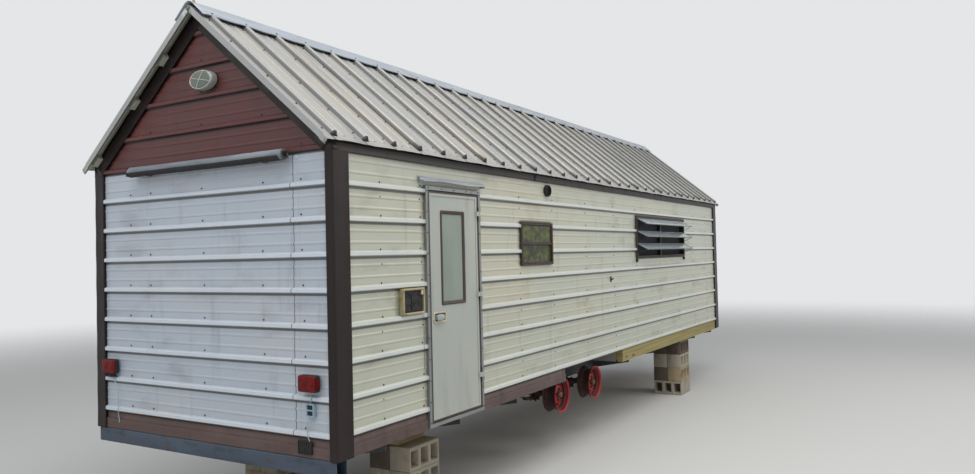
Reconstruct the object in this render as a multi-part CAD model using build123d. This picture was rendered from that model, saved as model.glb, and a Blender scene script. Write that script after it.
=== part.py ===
from build123d import *
import os
from math import atan2, cos, pi, sin, tan

# Tiny house on a travel trailer frame, millimetres. Round pieces are turned in flat facets.
# +X runs along the house from the tail-lamp gable to the hitch, +Z is up, the door is on the -Y side.
# The origin is on the level floor, under the centre of the whole length with its drawbar.

# House body
house_length = 9144.0
house_width = 2438.0
wall_ribs_high = 8
plate_drop = 29.0
wall_thick = 90.0
deck_drop = 85.0

# How far a cutting solid runs past the piece that it cuts
over = 60.0

# Ribbed steel sheet on the walls
sheet_thick = 1.5
rib_pitch = 228.6
rib_height = 19.0
rib_base = 46.0
rib_crest = 22.0
sheet_top_drop = 30.0
gable_ribs_high = 5

# Roof
roof_pitch = 10.0 / 12.0
roof_seat = 1929.0
eave_out = 60.0
rake_out = 100.0
roof_rib_pitch = 304.8
roof_rib_height = 30.0
roof_rib_base = 62.0
roof_rib_crest = 24.0
rib_stop = 62.0
rake_lip = 26.0
ridge_gap = 36.0
cap_leg = 165.0
purlin_thick = 38.0
purlin_wide = 89.0
purlin_out = 62.0
purlin_places = (2.0, 620.0, 1060.0)
rafter_wide = 38.0
rafter_deep = 89.0
rafter_count = 15
ridge_beam_wide = 38.0
ridge_beam_deep = 140.0

# Brown trims
trim_thick = 2.0
corner_leg_side = 136.0
corner_leg_tail_door = 46.0
corner_leg_end = 84.0
eave_trim_low = 1820.0
rake_trim_wide = 118.0
trim_gap = 0.3
corner_top_drop = 34.0
rake_seat = 0.8
purlin_clear = 0.5

# Rim timbers and skirt flashing, measured down from the foot of the siding
rim_top = 3.0
rim_deep = 140.0
rim_deep_tail = 125.0
rim_joint_x = 5768.0
joint_gap = 2.0
skirt_step = 9.0
skirt_step_drop = 52.0
skirt_slope = 4.0
skirt_top_gap = 1.0
skirt_start = 6.0

# Entry door
door_x = 975.0
door_wide = 762.0
door_low = -118.0
door_high = 1660.0
door_flange = 28.0
frame_proud = 21.0
frame_liner = 4.0
door_gap = 7.0
door_face = 18.0
door_leaf_thick = 38.0
door_edge = 34.0
door_field_sink = 5.0
door_glass_x = 1190.0
door_glass_wide = 286.0
door_glass_low = 792.0
door_glass_high = 1462.0
door_glass_rim = 24.0
glass_thick = 5.0
door_glass_in = 10.0
glass_rim_proud = 1.0
glass_rim_lap = 3.0
hinge_pin_r = 4.0
hinge_barrel_r = 8.0
hinge_sides = 8
pin_sides = 6
hinge_length = 110.0
hinge_heights = (120.0, 770.0, 1420.0)
hinge_plate = 26.0
hinge_half_thick = 1.5
hinge_stand = 1.0
hinge_foot = 9.0
hinge_wing = 6.0
knuckle_gap = 1.0
pin_clear = 0.3
latch_x = 1053.0
latch_low = 640.0
latch_wide = 166.0
latch_high = 84.0
latch_deep = 26.0
latch_plate_thick = 6.0
latch_pull_x = 16.0
latch_pull_end = 60.0
latch_pull_edge = 18.0
drip_x = 906.0
drip_wide = 866.0
drip_z = 1704.0
drip_out = 52.0
drip_rise = 26.0
drip_hem = 12.0

# Windows
small_x = 2443.0
small_wide = 640.0
small_low = 1036.0
small_high = 1432.0
small_flange = 26.0
small_rail_half = 9.0
small_rail_sink = 4.0
small_rail_back = 12.0
small_light_step = 8.0
awning_x = 5424.0
awning_wide = 1974.0
awning_low = 1056.0
awning_high = 1584.0
awning_flange = 30.0
awning_panes = 3
awning_swing = 62.0
awning_glass = 5.0
awning_pane_rim = 10.0
pane_side_gap = 4.0
pane_pin_wide = 6.0
pane_drop = 11.0
pane_set = 6.0
pane_short = 8.0
pane_hem = 4.0
pane_hem_top = 6.0
window_liner = 3.0
window_depth = 62.0
mullion_wide = 44.0
mullion_face = 4.0
mullion_back = 40.0
screen_in = 44.0
screen_thick = 2.0

# Fittings on the walls
vent_x = 2995.0
vent_z = 1741.0
vent_r = 56.0
vent_deep = 34.0
vent_sides = 28
box_x = 657.0
box_z = 730.0
box_wide = 257.0
box_high = 187.0
box_deep = 42.0
box_gap = 1.0
box_frame = 15.0
box_sink = 12.0
lamp_off_ridge = 69.0
lamp_under_ridge = 507.0
lamp_r = 84.0
lamp_face_r = 74.0
lamp_deep = 106.0
lamp_face_deep = 12.0
lamp_foot_r = 68.0
lamp_sides = 20
tube_door_in = 355.0
tube_back_in = 378.0
tube_z = 1836.0
tube_r = 37.0
tube_sides = 16
tube_stand = 6.0
tube_foot_half = 20.0
tube_foot_high = 16.0
tube_foot_in = 200.0
tube_end_long = 44.0
tube_end_half = 36.0
tail_lamp_wide = 152.0
tail_lamp_high = 108.0
tail_lamp_deep = 46.0
tail_lamp_z = 352.0
tail_lamp_door_in = 196.0
tail_lamp_back_in = 176.0
tail_bracket = 16.0
tail_back_half = 40.0
tail_back_high = 30.0
plate_lamp_y = 200.0
plate_lamp_z = 180.0
plate_lamp_wide = 66.0
plate_lamp_high = 84.0
plate_lamp_deep = 30.0
hatch_y = 198.0
hatch_wide = 119.0
hatch_low = -105.0
hatch_high = -16.0
hatch_deep = 14.0
wire_r = 3.5
wire_sides = 6
wire_back_in = 242.0
wire_end_z = -78.0
plate_wire_y = 214.0

# Trailer frame
rail_y = 480.0
rail_deep = 127.0
rail_flange = 50.0
rail_web = 6.0
cross_count = 10
cross_wide = 45.0
cross_web = 5.0
cross_first = 500.0
cross_end = 300.0
outrigger_thick = 8.0
outrigger_tip = 34.0
outrigger_back = 20.0
bumper_high = 108.0
bumper_deep = 100.0
bumper_wall = 6.0
bumper_proud = 12.0
drawbar_reach = 1150.0
drawbar_back = 500.0
drawbar_root_wide = 72.0
drawbar_tip_wide = 66.0
drawbar_tip_out = 12.0
drawbar_deep = 110.0
coupler_long = 330.0
coupler_wide = 116.0
coupler_lift = 20.0
socket_back = 60.0
socket_r = 29.9
socket_deep = 62.0
socket_sides = 20

# Running gear
wheel_x = 3618.0
wheel_spacing = 858.0
wheel_drop = 325.0
wheel_y = 250.0
wheel_bay_x0 = 3316.0
wheel_bay_x1 = 4896.0
well_wide = 358.0
well_rise = 40.0
well_sheet = 3.0
rim_r = 183.0
rim_seat_r = 165.0
rim_drop_r = 140.0
rim_half_wide = 72.0
rim_sheet = 5.0
rim_bead = 12.0
rim_ledge = 34.0
rim_fall = 46.0
wheel_sides = 14
disc_edge = 4.0
disc_dish = 26.0
disc_sheet = 7.0
disc_seat_r = 70.0
hub_bore_r = 34.0
hub_cap_out = 62.0
cap_round = 12.0
cap_top_r = 24.0
cap_wall = 8.0
spindle_short = 10.0
drum_r = 112.0
drum_deep = 56.0
drum_back = 14.0
spindle_r = 19.0
axle_r = 30.0
backing_r = 116.0
backing_thick = 5.0
axle_sides = 12
run_gap = 6.0
spring_half = 330.0
spring_wide = 45.0
leaf_thick = 9.0
leaf_count = 3
leaf_taper = 0.27
leaf_parts = 4
spring_arch = 46.0
axle_gap = 4.0
saddle_long = 90.0
saddle_side = 8.0
saddle_under = 6.0
eye_r = 17.0
eye_sides = 8
eye_sink = 4.0
hanger_thick = 6.0
hanger_half = 26.0
hanger_low = 4.0
hanger_gap = 0.3
bolt_sides = 6
bolt_r = 12.0
bolt_out = 9.0
equalizer_reach = 117.0
equalizer_end = 14.0
equalizer_mid = 22.0

# Piers of hollow concrete blocks
block_high = 190.5
block_long = 397.0
block_joint = 4.0
bed_inset = 6.0
core_wide = 96.0
core_high = 128.0
core_count = 3
hitch_pier_x = 7120.0
hitch_pier_courses = 4
tail_pier_x = 1150.0
tail_pier_courses = 3
packing_inset = 20.0
packing_half = 70.0

# Levels and places that follow from the sizes above
wall_height = wall_ribs_high * rib_pitch
house_high = 2 * roof_seat
floor_to_rim = hitch_pier_courses * block_high
foot_z = floor_to_rim + rim_top + rim_deep
tail_reach = rib_height + lamp_deep
hitch_reach = drawbar_reach + coupler_long / 2
tail_x = -(house_length + tail_reach + hitch_reach) / 2 + tail_reach
hitch_x = tail_x + house_length
door_y = -house_width / 2
slope = atan2(roof_pitch, 1.0)
rail_top_z = foot_z - rim_top - rim_deep
deck_z = foot_z - deck_drop
wheel_z = foot_z - wheel_drop
core_x = tail_x + sheet_thick
wall_foot_z = foot_z - rim_top
wall_top_z = foot_z + wall_height - plate_drop
ridge_height = roof_seat + house_width / 2 * roof_pitch


# Helpers
def slab(x0, x1, y0, y1, z0, z1):
    size = Box(x1 - x0, y1 - y0, z1 - z0)
    return Pos((x0 + x1) / 2, (y0 + y1) / 2, (z0 + z1) / 2) * size


def side_slab(x0, x1, in0, in1, z0, z1):
    # x from the tail wall, depth inward from the door wall face, height from the foot of the siding
    return slab(tail_x + x0, tail_x + x1, door_y + in0, door_y + in1, foot_z + z0, foot_z + z1)


def end_slab(in0, in1, y0, y1, z0, z1):
    # depth inward from the tail wall face, y from the door wall face
    return slab(tail_x + in0, tail_x + in1, door_y + y0, door_y + y1, foot_z + z0, foot_z + z1)


def across(shape):
    # the same piece on the other long side
    return mirror(shape, about=Plane.XZ)


def turned_end(shape):
    # the same piece on the hitch end of the body
    middle = (tail_x + hitch_x) / 2
    return mirror(shape, about=Plane(origin=(middle, 0, 0), z_dir=(1, 0, 0)))


def prism(points, direction, length):
    face = make_face(Polyline(*points, close=True))
    return extrude(face, amount=length, dir=direction)


def section(x, y, z, radius, sides, axis):
    # a flat many-sided face square to the axis
    facing = {"X": (1, 0, 0), "Y": (0, 1, 0), "Z": (0, 0, 1)}[axis]
    upright = (1, 0, 0) if axis == "Z" else (0, 0, 1)
    return Plane(origin=(x, y, z), x_dir=upright, z_dir=facing) * RegularPolygon(radius, sides)


def faceted_drum(x, y, z, radius, length, sides, axis):
    # a drum in flat facets, its middle at the point
    return extrude(section(x, y, z, radius, sides, axis), amount=length / 2, both=True)


def faceted_turn(points, sides):
    # an outline of (radius, depth) points turned about the Y axis in flat facets
    reach = 2 * max(radius for radius, depth in points)
    low = min(depth for radius, depth in points)
    high = max(depth for radius, depth in points)
    spread = reach * tan(pi / sides)
    outline = make_face(Polyline(*[(radius, depth, 0) for radius, depth in points], close=True))
    wedge = prism([(0, low, 0), (reach, low, spread), (reach, low, -spread)], (0, 1, 0), high - low)
    sector = extrude(outline, amount=spread, dir=(0, 0, 1), both=True) & wedge
    sectors = [Rot(0, number * 360 / sides, 0) * sector for number in range(sides)]
    return sectors[0].fuse(*sectors[1:]).clean()


def save(name, *shapes):
    solids = [solid for shape in shapes for solid in shape.solids()]
    export_step(Compound(solids), "parts/" + name + ".step")


def rib_steps(start, end, first, pitch, base, crest, height):
    # outline of a ribbed sheet as (place, rise) pairs, one trapezoid rib a pitch
    steps = [(start, 0.0)]
    place = first
    while place < end:
        low = place - base / 2
        high = place + base / 2
        if low > start - trim_gap and high < end:
            if low > steps[-1][0] + trim_gap:
                steps.append((low, 0.0))
            steps += [(place - crest / 2, height), (place + crest / 2, height), (high, 0.0)]
        place += pitch
    return steps + [(end, 0.0)]


def wall_ribs(z0, z1):
    return rib_steps(z0, z1, rib_base / 2, rib_pitch, rib_base, rib_crest, rib_height)


def side_sheet(z0, z1, x0, x1):
    steps = wall_ribs(z0, z1)
    outer = [(tail_x + x0, door_y - rise, foot_z + z) for z, rise in steps]
    inner = [(tail_x + x0, door_y + sheet_thick - rise, foot_z + z) for z, rise in reversed(steps)]
    return prism(outer + inner, (1, 0, 0), x1 - x0)


def end_sheet(z0, z1, y0, y1):
    steps = wall_ribs(z0, z1)
    outer = [(tail_x - rise, door_y + y0, foot_z + z) for z, rise in steps]
    inner = [(tail_x + sheet_thick - rise, door_y + y0, foot_z + z) for z, rise in reversed(steps)]
    return prism(outer + inner, (0, 1, 0), y1 - y0)


# Roof plane of the door side: s up the slope from the wall face, n square out of the sheet's underside
def roof_point(x, s, n):
    return (x, door_y + s * cos(slope) - n * sin(slope), foot_z + roof_seat + s * sin(slope) + n * cos(slope))


def roof_slab(x0, x1, s0, s1, n0, n1):
    corners = [roof_point(x0, s0, n0), roof_point(x0, s1, n0), roof_point(x0, s1, n1), roof_point(x0, s0, n1)]
    return prism(corners, (1, 0, 0), x1 - x0)


slope_length = house_width / 2 / cos(slope)
roof_x0 = tail_x - rake_out
roof_x1 = hitch_x + rake_out

os.makedirs("parts", exist_ok=True)

# Side walls: plain slabs beside and over the doorway and the wide window
wall_in0 = sheet_thick
wall_in1 = sheet_thick + wall_thick
wall_end0 = sheet_thick + wall_thick
wall_end1 = house_length - wall_end0
wall_z0 = -rim_top
wall_z1 = wall_top_z - foot_z
hole_x0 = door_x + door_flange - frame_liner
hole_x1 = door_x + door_wide - door_flange + frame_liner
hole_top = door_high - door_flange + frame_liner
awn_x0 = awning_x + awning_flange - window_liner
awn_x1 = awning_x + awning_wide - awning_flange + window_liner
awn_z0 = awning_low + awning_flange - window_liner
awn_z1 = awning_high - awning_flange + window_liner
small_inset = small_flange - window_liner
small_hole = side_slab(small_x + small_inset, small_x + small_wide - small_inset, -over, wall_in1 + over,
                       small_low + small_inset, small_high - small_inset)

wall_left = side_slab(wall_end0, hole_x0, wall_in0, wall_in1, wall_z0, wall_z1)
wall_middle = side_slab(hole_x1, awn_x0, wall_in0, wall_in1, wall_z0, wall_z1) - small_hole
wall_right = side_slab(awn_x1, wall_end1, wall_in0, wall_in1, wall_z0, wall_z1)
over_door = side_slab(hole_x0, hole_x1, wall_in0, wall_in1, hole_top, wall_z1)
under_window = side_slab(awn_x0, awn_x1, wall_in0, wall_in1, wall_z0, awn_z0)
over_window = side_slab(awn_x0, awn_x1, wall_in0, wall_in1, awn_z1, wall_z1)
save("door_side_wall", wall_left, wall_middle, wall_right)
save("door_side_spans", over_door, under_window, over_window)
back_left = side_slab(wall_end0, awn_x0, wall_in0, wall_in1, wall_z0, wall_z1) - small_hole
save("back_side_wall", across(back_left), across(wall_right))
save("back_side_spans", across(under_window), across(over_window))


# End walls: one gabled slab each, up to the undersides of the purlins
def gable_outline(x, y_in, z_low, drop):
    low_y = door_y + y_in
    eave_z = foot_z + roof_seat + y_in * roof_pitch - drop / cos(slope)
    ridge_z = foot_z + roof_seat + house_width / 2 * roof_pitch - drop / cos(slope)
    return [(x, low_y, z_low), (x, -low_y, z_low), (x, -low_y, eave_z), (x, 0, ridge_z), (x, low_y, eave_z)]


tail_wall = prism(gable_outline(core_x, sheet_thick, wall_foot_z, purlin_thick), (1, 0, 0), wall_thick)
save("tail_end_wall", tail_wall)
save("hitch_end_wall", turned_end(tail_wall))

# Wall siding with its window and door openings
sheet_top = roof_seat - sheet_top_drop
door_cut = side_slab(door_x, door_x + door_wide, -over, over, door_low - over, door_high)
small_cut = side_slab(small_x, small_x + small_wide, -over, over, small_low, small_high)
box_cut = side_slab(box_x - box_gap, box_x + box_wide + box_gap, -over, over,
                    box_z - box_gap, box_z + box_high + box_gap)
awning_cut = side_slab(awning_x, awning_x + awning_wide, -over, over, awning_low, awning_high)
side_siding = side_sheet(0, sheet_top, rib_height, house_length - rib_height)
side_siding_back = across(side_siding - small_cut - awning_cut)
save("siding_door_side", side_siding - door_cut - small_cut - awning_cut - box_cut)
save("siding_back_side", side_siding_back)
end_siding = end_sheet(0, wall_height, rib_height, house_width - rib_height)
save("siding_ends", end_siding, turned_end(end_siding))
gable_sheet_top = wall_height + gable_ribs_high * rib_pitch
gable_sheet = end_sheet(wall_height, gable_sheet_top, rib_height, house_width - rib_height)
gable_mask = prism(gable_outline(tail_x - over, 0, foot_z + wall_height, purlin_thick), (1, 0, 0), 2 * over)
gable_siding = gable_sheet & gable_mask
save("gable_siding", gable_siding, turned_end(gable_siding))

# Corner trims wrap the four upright edges
corner_top = roof_seat - corner_top_drop
face_out = rib_height + trim_gap
corner_low = -rim_top - rim_deep_tail


def corner_trim(end_leg):
    out = face_out + trim_thick
    side = side_slab(-out, corner_leg_side, -out, -face_out, corner_low, corner_top)
    end = end_slab(-out, -face_out, -out, end_leg, corner_low, corner_top)
    return side + end


corner_door = corner_trim(corner_leg_tail_door)
corner_plain = corner_trim(corner_leg_end)
save("corner_trims", corner_door, across(corner_plain), turned_end(corner_plain),
     turned_end(across(corner_plain)))

# Rim timbers round the deck, then the stepped flashing over the tail half
wheel_gap0 = wheel_bay_x0
wheel_gap1 = wheel_bay_x1
rim_in0 = sheet_thick
rim_in1 = wall_in1


def rim(x0, x1, deep):
    return side_slab(x0, x1, rim_in0, rim_in1, -rim_top - deep, -rim_top)


rim_hitch = [rim(wheel_gap1, rim_joint_x, rim_deep),
             rim(rim_joint_x + joint_gap, house_length - sheet_thick, rim_deep)]
rim_front = [rim(sheet_thick, hole_x0, rim_deep_tail), rim(hole_x1, wheel_gap0, rim_deep_tail)] + rim_hitch
rim_back = [rim(sheet_thick, wheel_gap0, rim_deep_tail)] + rim_hitch
rim_end = end_slab(sheet_thick, rim_in1, rim_in1 + joint_gap, house_width - rim_in1 - joint_gap,
                   -rim_top - rim_deep_tail, -rim_top)
save("rim_timbers", *rim_front, *[across(piece) for piece in rim_back], rim_end, turned_end(rim_end))


def skirt_steps(deep):
    low = -rim_top - deep
    bend = -skirt_step_drop - skirt_slope
    return [(0, -skirt_top_gap), (0, -skirt_step_drop), (skirt_step, bend), (skirt_step, low),
            (skirt_step - trim_thick, low), (skirt_step - trim_thick, bend - trim_thick),
            (-sheet_thick, -skirt_step_drop - trim_thick), (-sheet_thick, -skirt_top_gap)]


def side_skirt(x0, x1):
    points = [(tail_x + x0, door_y - out, foot_z + z) for out, z in skirt_steps(rim_deep_tail)]
    return prism(points, (1, 0, 0), x1 - x0)


def end_skirt(y0, y1):
    points = [(tail_x - out, door_y + y0, foot_z + z) for out, z in skirt_steps(rim_deep_tail)]
    return prism(points, (0, 1, 0), y1 - y0)


skirts = [side_skirt(skirt_start, door_x - trim_gap), side_skirt(door_x + door_wide + trim_gap, wheel_gap0)]
skirts += [across(side_skirt(skirt_start, wheel_gap0)), end_skirt(skirt_start, house_width - skirt_start)]
save("skirt_flashing", *skirts)

# Eave trims: a brown strip from the sheet's underside over the top of the siding
eave_out_y = face_out + trim_thick
eave_top = roof_seat - eave_out_y * roof_pitch - trim_gap
eave_face = side_slab(-eave_out_y, house_length + eave_out_y, -eave_out_y - trim_thick, -eave_out_y,
                      eave_trim_low, eave_top - trim_thick * roof_pitch)
eave_lip_in = corner_leg_side + trim_gap
eave_lip = side_slab(eave_lip_in, house_length - eave_lip_in, -eave_out_y, -trim_gap,
                     eave_trim_low, eave_trim_low + trim_thick)
eave_trim = eave_face + eave_lip
save("eave_trims", eave_trim, across(eave_trim))

# Rake trims: a band under each raking edge, let in round the purlin ends
rake_x0 = tail_x - face_out - 2 * trim_thick
rake_x1 = rake_x0 + trim_thick
rake_end = -eave_out_y / cos(slope)


def rake_leg():
    face = roof_slab(rake_x0, rake_x1, rake_end, slope_length + over, -rake_trim_wide, -rake_seat)
    keep = slab(rake_x0 - over, tail_x, door_y - 2 * over, 0, foot_z, foot_z + house_high)
    return face & keep


purlin_bars = [roof_slab(tail_x - purlin_out, hitch_x + purlin_out, s, s + purlin_wide, -purlin_thick, 0)
               for s in purlin_places]
rake_half = rake_leg()
for s in purlin_places:
    rake_half -= roof_slab(rake_x0 - over, tail_x, s - purlin_clear, s + purlin_wide + purlin_clear,
                           -purlin_thick - purlin_clear, over)
rake_trim = rake_half + across(rake_half)
save("rake_trims", rake_trim, turned_end(rake_trim))

# Roof frame
save("purlins", *purlin_bars, *[across(bar) for bar in purlin_bars])
rafter_span0 = tail_x + sheet_thick + wall_thick
rafter_span1 = hitch_x - sheet_thick - wall_thick
rafter_step = (rafter_span1 - rafter_span0 - rafter_wide) / (rafter_count - 1)
seat_cut = side_slab(0, house_length, -over, wall_in1, 0, wall_z1)
ridge_cut = slab(tail_x, hitch_x, -ridge_beam_wide / 2, 2 * over, foot_z, foot_z + house_high)
plumb_cut = side_slab(0, house_length, -2 * over, wall_in0, 0, house_high)
one_rafter = roof_slab(rafter_span0, rafter_span0 + rafter_wide, -over, slope_length,
                       -purlin_thick - rafter_deep, -purlin_thick)
one_rafter = one_rafter - seat_cut - ridge_cut - plumb_cut
rafters = [Pos(index * rafter_step, 0, 0) * one_rafter for index in range(rafter_count)]
save("rafters_door_side", *rafters)
save("rafters_back_side", *[across(item) for item in rafters])
ridge_under_z = roof_point(0, (house_width / 2 - ridge_beam_wide / 2) / cos(slope), -purlin_thick)[2]
ridge_beam_top = ridge_under_z - purlin_thick * sin(slope) * roof_pitch
save("ridge_beam", slab(rafter_span0, rafter_span1, -ridge_beam_wide / 2, ridge_beam_wide / 2,
                        ridge_beam_top - ridge_beam_deep, ridge_beam_top))


# Roof sheets: major ribs stop short of the drip edge, and both raking edges turn down
def roof_sheet():
    steps = rib_steps(roof_x0, roof_x1, tail_x, roof_rib_pitch,
                      roof_rib_base, roof_rib_crest, roof_rib_height)
    s0 = -eave_out / cos(slope)
    s1 = slope_length - ridge_gap
    upper = [roof_point(x, s0 + rib_stop, rise + sheet_thick) for x, rise in steps]
    under = [roof_point(x, s0 + rib_stop, rise) for x, rise in reversed(steps)]
    along = (0, cos(slope), sin(slope))
    ribbed = prism(upper + under, along, s1 - s0 - rib_stop)
    drip = roof_slab(roof_x0, roof_x1, s0, s0 + rib_stop, 0, sheet_thick)
    lips = [roof_slab(x, x + sheet_thick, s0, s1, -rake_lip, sheet_thick)
            for x in (roof_x0 - sheet_thick, roof_x1)]
    return ribbed + drip + lips[0] + lips[1]


door_sheet = roof_sheet()
save("roof_sheet_door_side", door_sheet)
save("roof_sheet_back_side", across(door_sheet))

# Ridge cap rests on the crests of the major ribs
cap_n0 = roof_rib_height + sheet_thick + trim_gap
cap_n1 = cap_n0 + trim_thick
cap_s1 = slope_length + over
cap_s0 = slope_length - cap_leg
cap_leg_piece = roof_slab(roof_x0, roof_x1, cap_s0, cap_s1, cap_n0, cap_n1)
cap_keep = slab(roof_x0 - over, roof_x1 + over, door_y, 0, foot_z, foot_z + house_high)
cap_half = cap_leg_piece & cap_keep
save("ridge_cap", cap_half + across(cap_half))

# Deck with bays for the wheel wells
deck_x0 = rim_in1
deck_x1 = house_length - rim_in1
deck_y0 = door_y + rim_in1
deck = slab(tail_x + deck_x0, tail_x + deck_x1, deck_y0, -deck_y0, rail_top_z, deck_z)
well_in0 = wall_in1
well_in1 = well_in0 + well_wide
well_low = rail_top_z - foot_z
bay = side_slab(wheel_bay_x0, wheel_bay_x1, well_in0 - over, well_in1, well_low - over, well_rise + over)
save("floor_deck", deck - bay - across(bay))
well_outer = side_slab(wheel_bay_x0, wheel_bay_x1, well_in0, well_in1, well_low, well_rise)
well_inner = side_slab(wheel_bay_x0 + well_sheet, wheel_bay_x1 - well_sheet, well_in0 - over,
                       well_in1 - well_sheet, well_low - over, well_rise - well_sheet)
well = well_outer - well_inner
save("wheel_wells", well, across(well))


# Trailer frame of steel channel
def channel_yz(deep, flange, web):
    # web on the outboard side, flanges inward
    outer = [(0, 0), (flange, 0), (flange, -web), (web, -web), (web, -deep + web), (flange, -deep + web)]
    return outer + [(flange, -deep), (0, -deep)]


rail_points = [(tail_x + bumper_deep - bumper_proud, door_y + rail_y + y, rail_top_z + z)
               for y, z in channel_yz(rail_deep, rail_flange, rail_web)]
rail = prism(rail_points, (1, 0, 0), house_length - bumper_deep + bumper_proud)
save("chassis_rails", rail, across(rail))

cross_step = (house_length - cross_end - cross_first) / (cross_count - 1)
cross_y0 = door_y + rail_y + rail_web
cross_top = rail_top_z - rail_web
cross_low = rail_top_z - rail_deep + rail_web


def crossmember(x):
    web = slab(tail_x + x, tail_x + x + cross_web, cross_y0, -cross_y0, cross_low, cross_top)
    top = slab(tail_x + x, tail_x + x + cross_wide, cross_y0, -cross_y0, cross_top - cross_web, cross_top)
    low = slab(tail_x + x, tail_x + x + cross_wide, cross_y0, -cross_y0, cross_low, cross_low + cross_web)
    return web + top + low


cross_places = [cross_first + index * cross_step for index in range(cross_count)]


def outrigger(x):
    # tapered plate from the rail's web out under the rim
    y0 = door_y + rail_y
    tip = door_y + rim_in0 + outrigger_back
    points = [(tail_x + x, y0, rail_top_z), (tail_x + x, tip, rail_top_z),
              (tail_x + x, tip, rail_top_z - outrigger_tip), (tail_x + x, y0, cross_low)]
    return prism(points, (1, 0, 0), outrigger_thick)


outrigger_places = [x for x in cross_places if x < wheel_bay_x0 - cross_wide or x > wheel_bay_x1]
outriggers = [outrigger(x) for x in outrigger_places]
outriggers += [across(item) for item in outriggers]
save("crossmembers", *[crossmember(x) for x in cross_places], *outriggers)

bumper_top = foot_z - rim_top - rim_deep_tail - trim_gap
bumper_low = bumper_top - bumper_high
bumper_x0 = tail_x - bumper_proud
bumper_outer = slab(bumper_x0, bumper_x0 + bumper_deep, door_y, -door_y, bumper_low, bumper_top)
bumper_inner = slab(bumper_x0 + bumper_wall, bumper_x0 + bumper_deep - bumper_wall,
                    door_y - over, -door_y + over, bumper_low + bumper_wall, bumper_top - bumper_wall)
save("bumper", bumper_outer - bumper_inner)

# Drawbar: two beams from the crossmember bays to the coupler
bar_top = rail_top_z - rail_deep
bar_low = bar_top - drawbar_deep
bar_x0 = hitch_x - drawbar_back
bar_x1 = hitch_x + drawbar_reach
bar_y0 = door_y + rail_y
bar_tip_y = -coupler_wide / 2 - drawbar_tip_out
bar_points = [(bar_x0, bar_y0, bar_low), (bar_x1, bar_tip_y, bar_low),
              (bar_x1, bar_tip_y + drawbar_tip_wide, bar_low), (bar_x0, bar_y0 + drawbar_root_wide, bar_low)]
drawbar_half = prism(bar_points, (0, 0, 1), drawbar_deep)
save("drawbar", drawbar_half, across(drawbar_half))
coupler_low = bar_low + coupler_lift
coupler_x1 = bar_x1 + coupler_long / 2
coupler_body = slab(bar_x1, coupler_x1, -coupler_wide / 2, coupler_wide / 2, coupler_low, bar_top)
socket_mid_z = coupler_low + (socket_deep - over) / 2
coupler_socket = faceted_drum(coupler_x1 - socket_back, 0, socket_mid_z, socket_r, socket_deep + over,
                              socket_sides, "Z")
save("coupler", coupler_body - coupler_socket)


# Wheels: a pressed steel rim and dished disc, and a hub with its drum and cap
def wheel_rim():
    # radius against depth; the outboard side of the wheel is negative depth
    w = rim_half_wide
    seat_in = rim_seat_r - rim_sheet
    drop_in = rim_drop_r - rim_sheet
    outer = [(rim_r, -w), (rim_seat_r, -w + rim_bead),
             (rim_seat_r, -w + rim_ledge), (rim_drop_r, -w + rim_fall)]
    outer += [(radius, -depth) for radius, depth in reversed(outer)]
    inner = [(rim_r - rim_sheet, w), (seat_in, w - rim_bead), (drop_in, w - rim_fall)]
    disc_back = [(drop_in, disc_edge), (disc_seat_r - disc_sheet, -disc_dish + disc_sheet)]
    bore = [(hub_bore_r + pin_clear, -disc_dish + disc_sheet), (hub_bore_r + pin_clear, -disc_dish)]
    disc_face = [(disc_seat_r, -disc_dish), (drop_in, -disc_edge)]
    inner_end = [(radius, -depth) for radius, depth in reversed(inner)]
    return faceted_turn(outer + inner + disc_back + bore + disc_face + inner_end, wheel_sides)


def wheel_hub():
    # the drum stands behind the disc, the cap comes through its middle
    drum_face = drum_back + disc_edge
    bore_r = spindle_r / cos(pi / axle_sides) + pin_clear
    cap_y = -hub_cap_out
    points = [(bore_r, drum_deep), (drum_r, drum_deep), (drum_r, drum_face), (hub_bore_r, drum_face),
              (hub_bore_r, cap_y + cap_round), (cap_top_r, cap_y), (0, cap_y), (0, cap_y + cap_wall),
              (bore_r, cap_y + cap_wall)]
    return faceted_turn(points, wheel_sides)


wheel_places = {"tail": wheel_x, "hitch": wheel_x + wheel_spacing}
hub_y = door_y + wheel_y
rim_shape = wheel_rim()
hub_shape = wheel_hub()
for end_name, x in wheel_places.items():
    place = Pos(tail_x + x, hub_y, wheel_z)
    save("wheel_" + end_name + "_door_side", place * rim_shape)
    save("hub_" + end_name + "_door_side", place * hub_shape)
    save("wheel_" + end_name + "_back_side", across(place * rim_shape))
    save("hub_" + end_name + "_back_side", across(place * hub_shape))

# Axles: tube, backing plates and spindles
backing_in = drum_deep + run_gap


def axle(x):
    plate_y = -hub_y - backing_in
    half = [(0, -hub_y + hub_cap_out - spindle_short), (spindle_r, -hub_y + hub_cap_out - spindle_short),
            (spindle_r, plate_y), (backing_r, plate_y), (backing_r, plate_y - backing_thick),
            (axle_r, plate_y - backing_thick)]
    points = half + [(radius, -depth) for radius, depth in reversed(half)]
    return Pos(x, 0, wheel_z) * faceted_turn(points, axle_sides)


save("axles", *[axle(tail_x + x) for x in wheel_places.values()])


# Tandem leaf springs under the axles, hung from the rails with an equalizer between them
def leaf(half, under):
    # one arched leaf as a strip between two arcs in short straights, lowest at mid length
    radius = (spring_half ** 2 + spring_arch ** 2) / (2 * spring_arch)
    turns = [half / radius * (2 * step / leaf_parts - 1) for step in range(leaf_parts + 1)]
    upper_r = radius + under * leaf_thick
    lower_r = upper_r + leaf_thick
    upper = [(upper_r * sin(turn), 0, radius - upper_r * cos(turn)) for turn in turns]
    lower = [(lower_r * sin(turn), 0, radius - lower_r * cos(turn)) for turn in reversed(turns)]
    return Pos(0, -spring_wide / 2, 0) * prism(upper + lower, (0, 1, 0), spring_wide)


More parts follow.
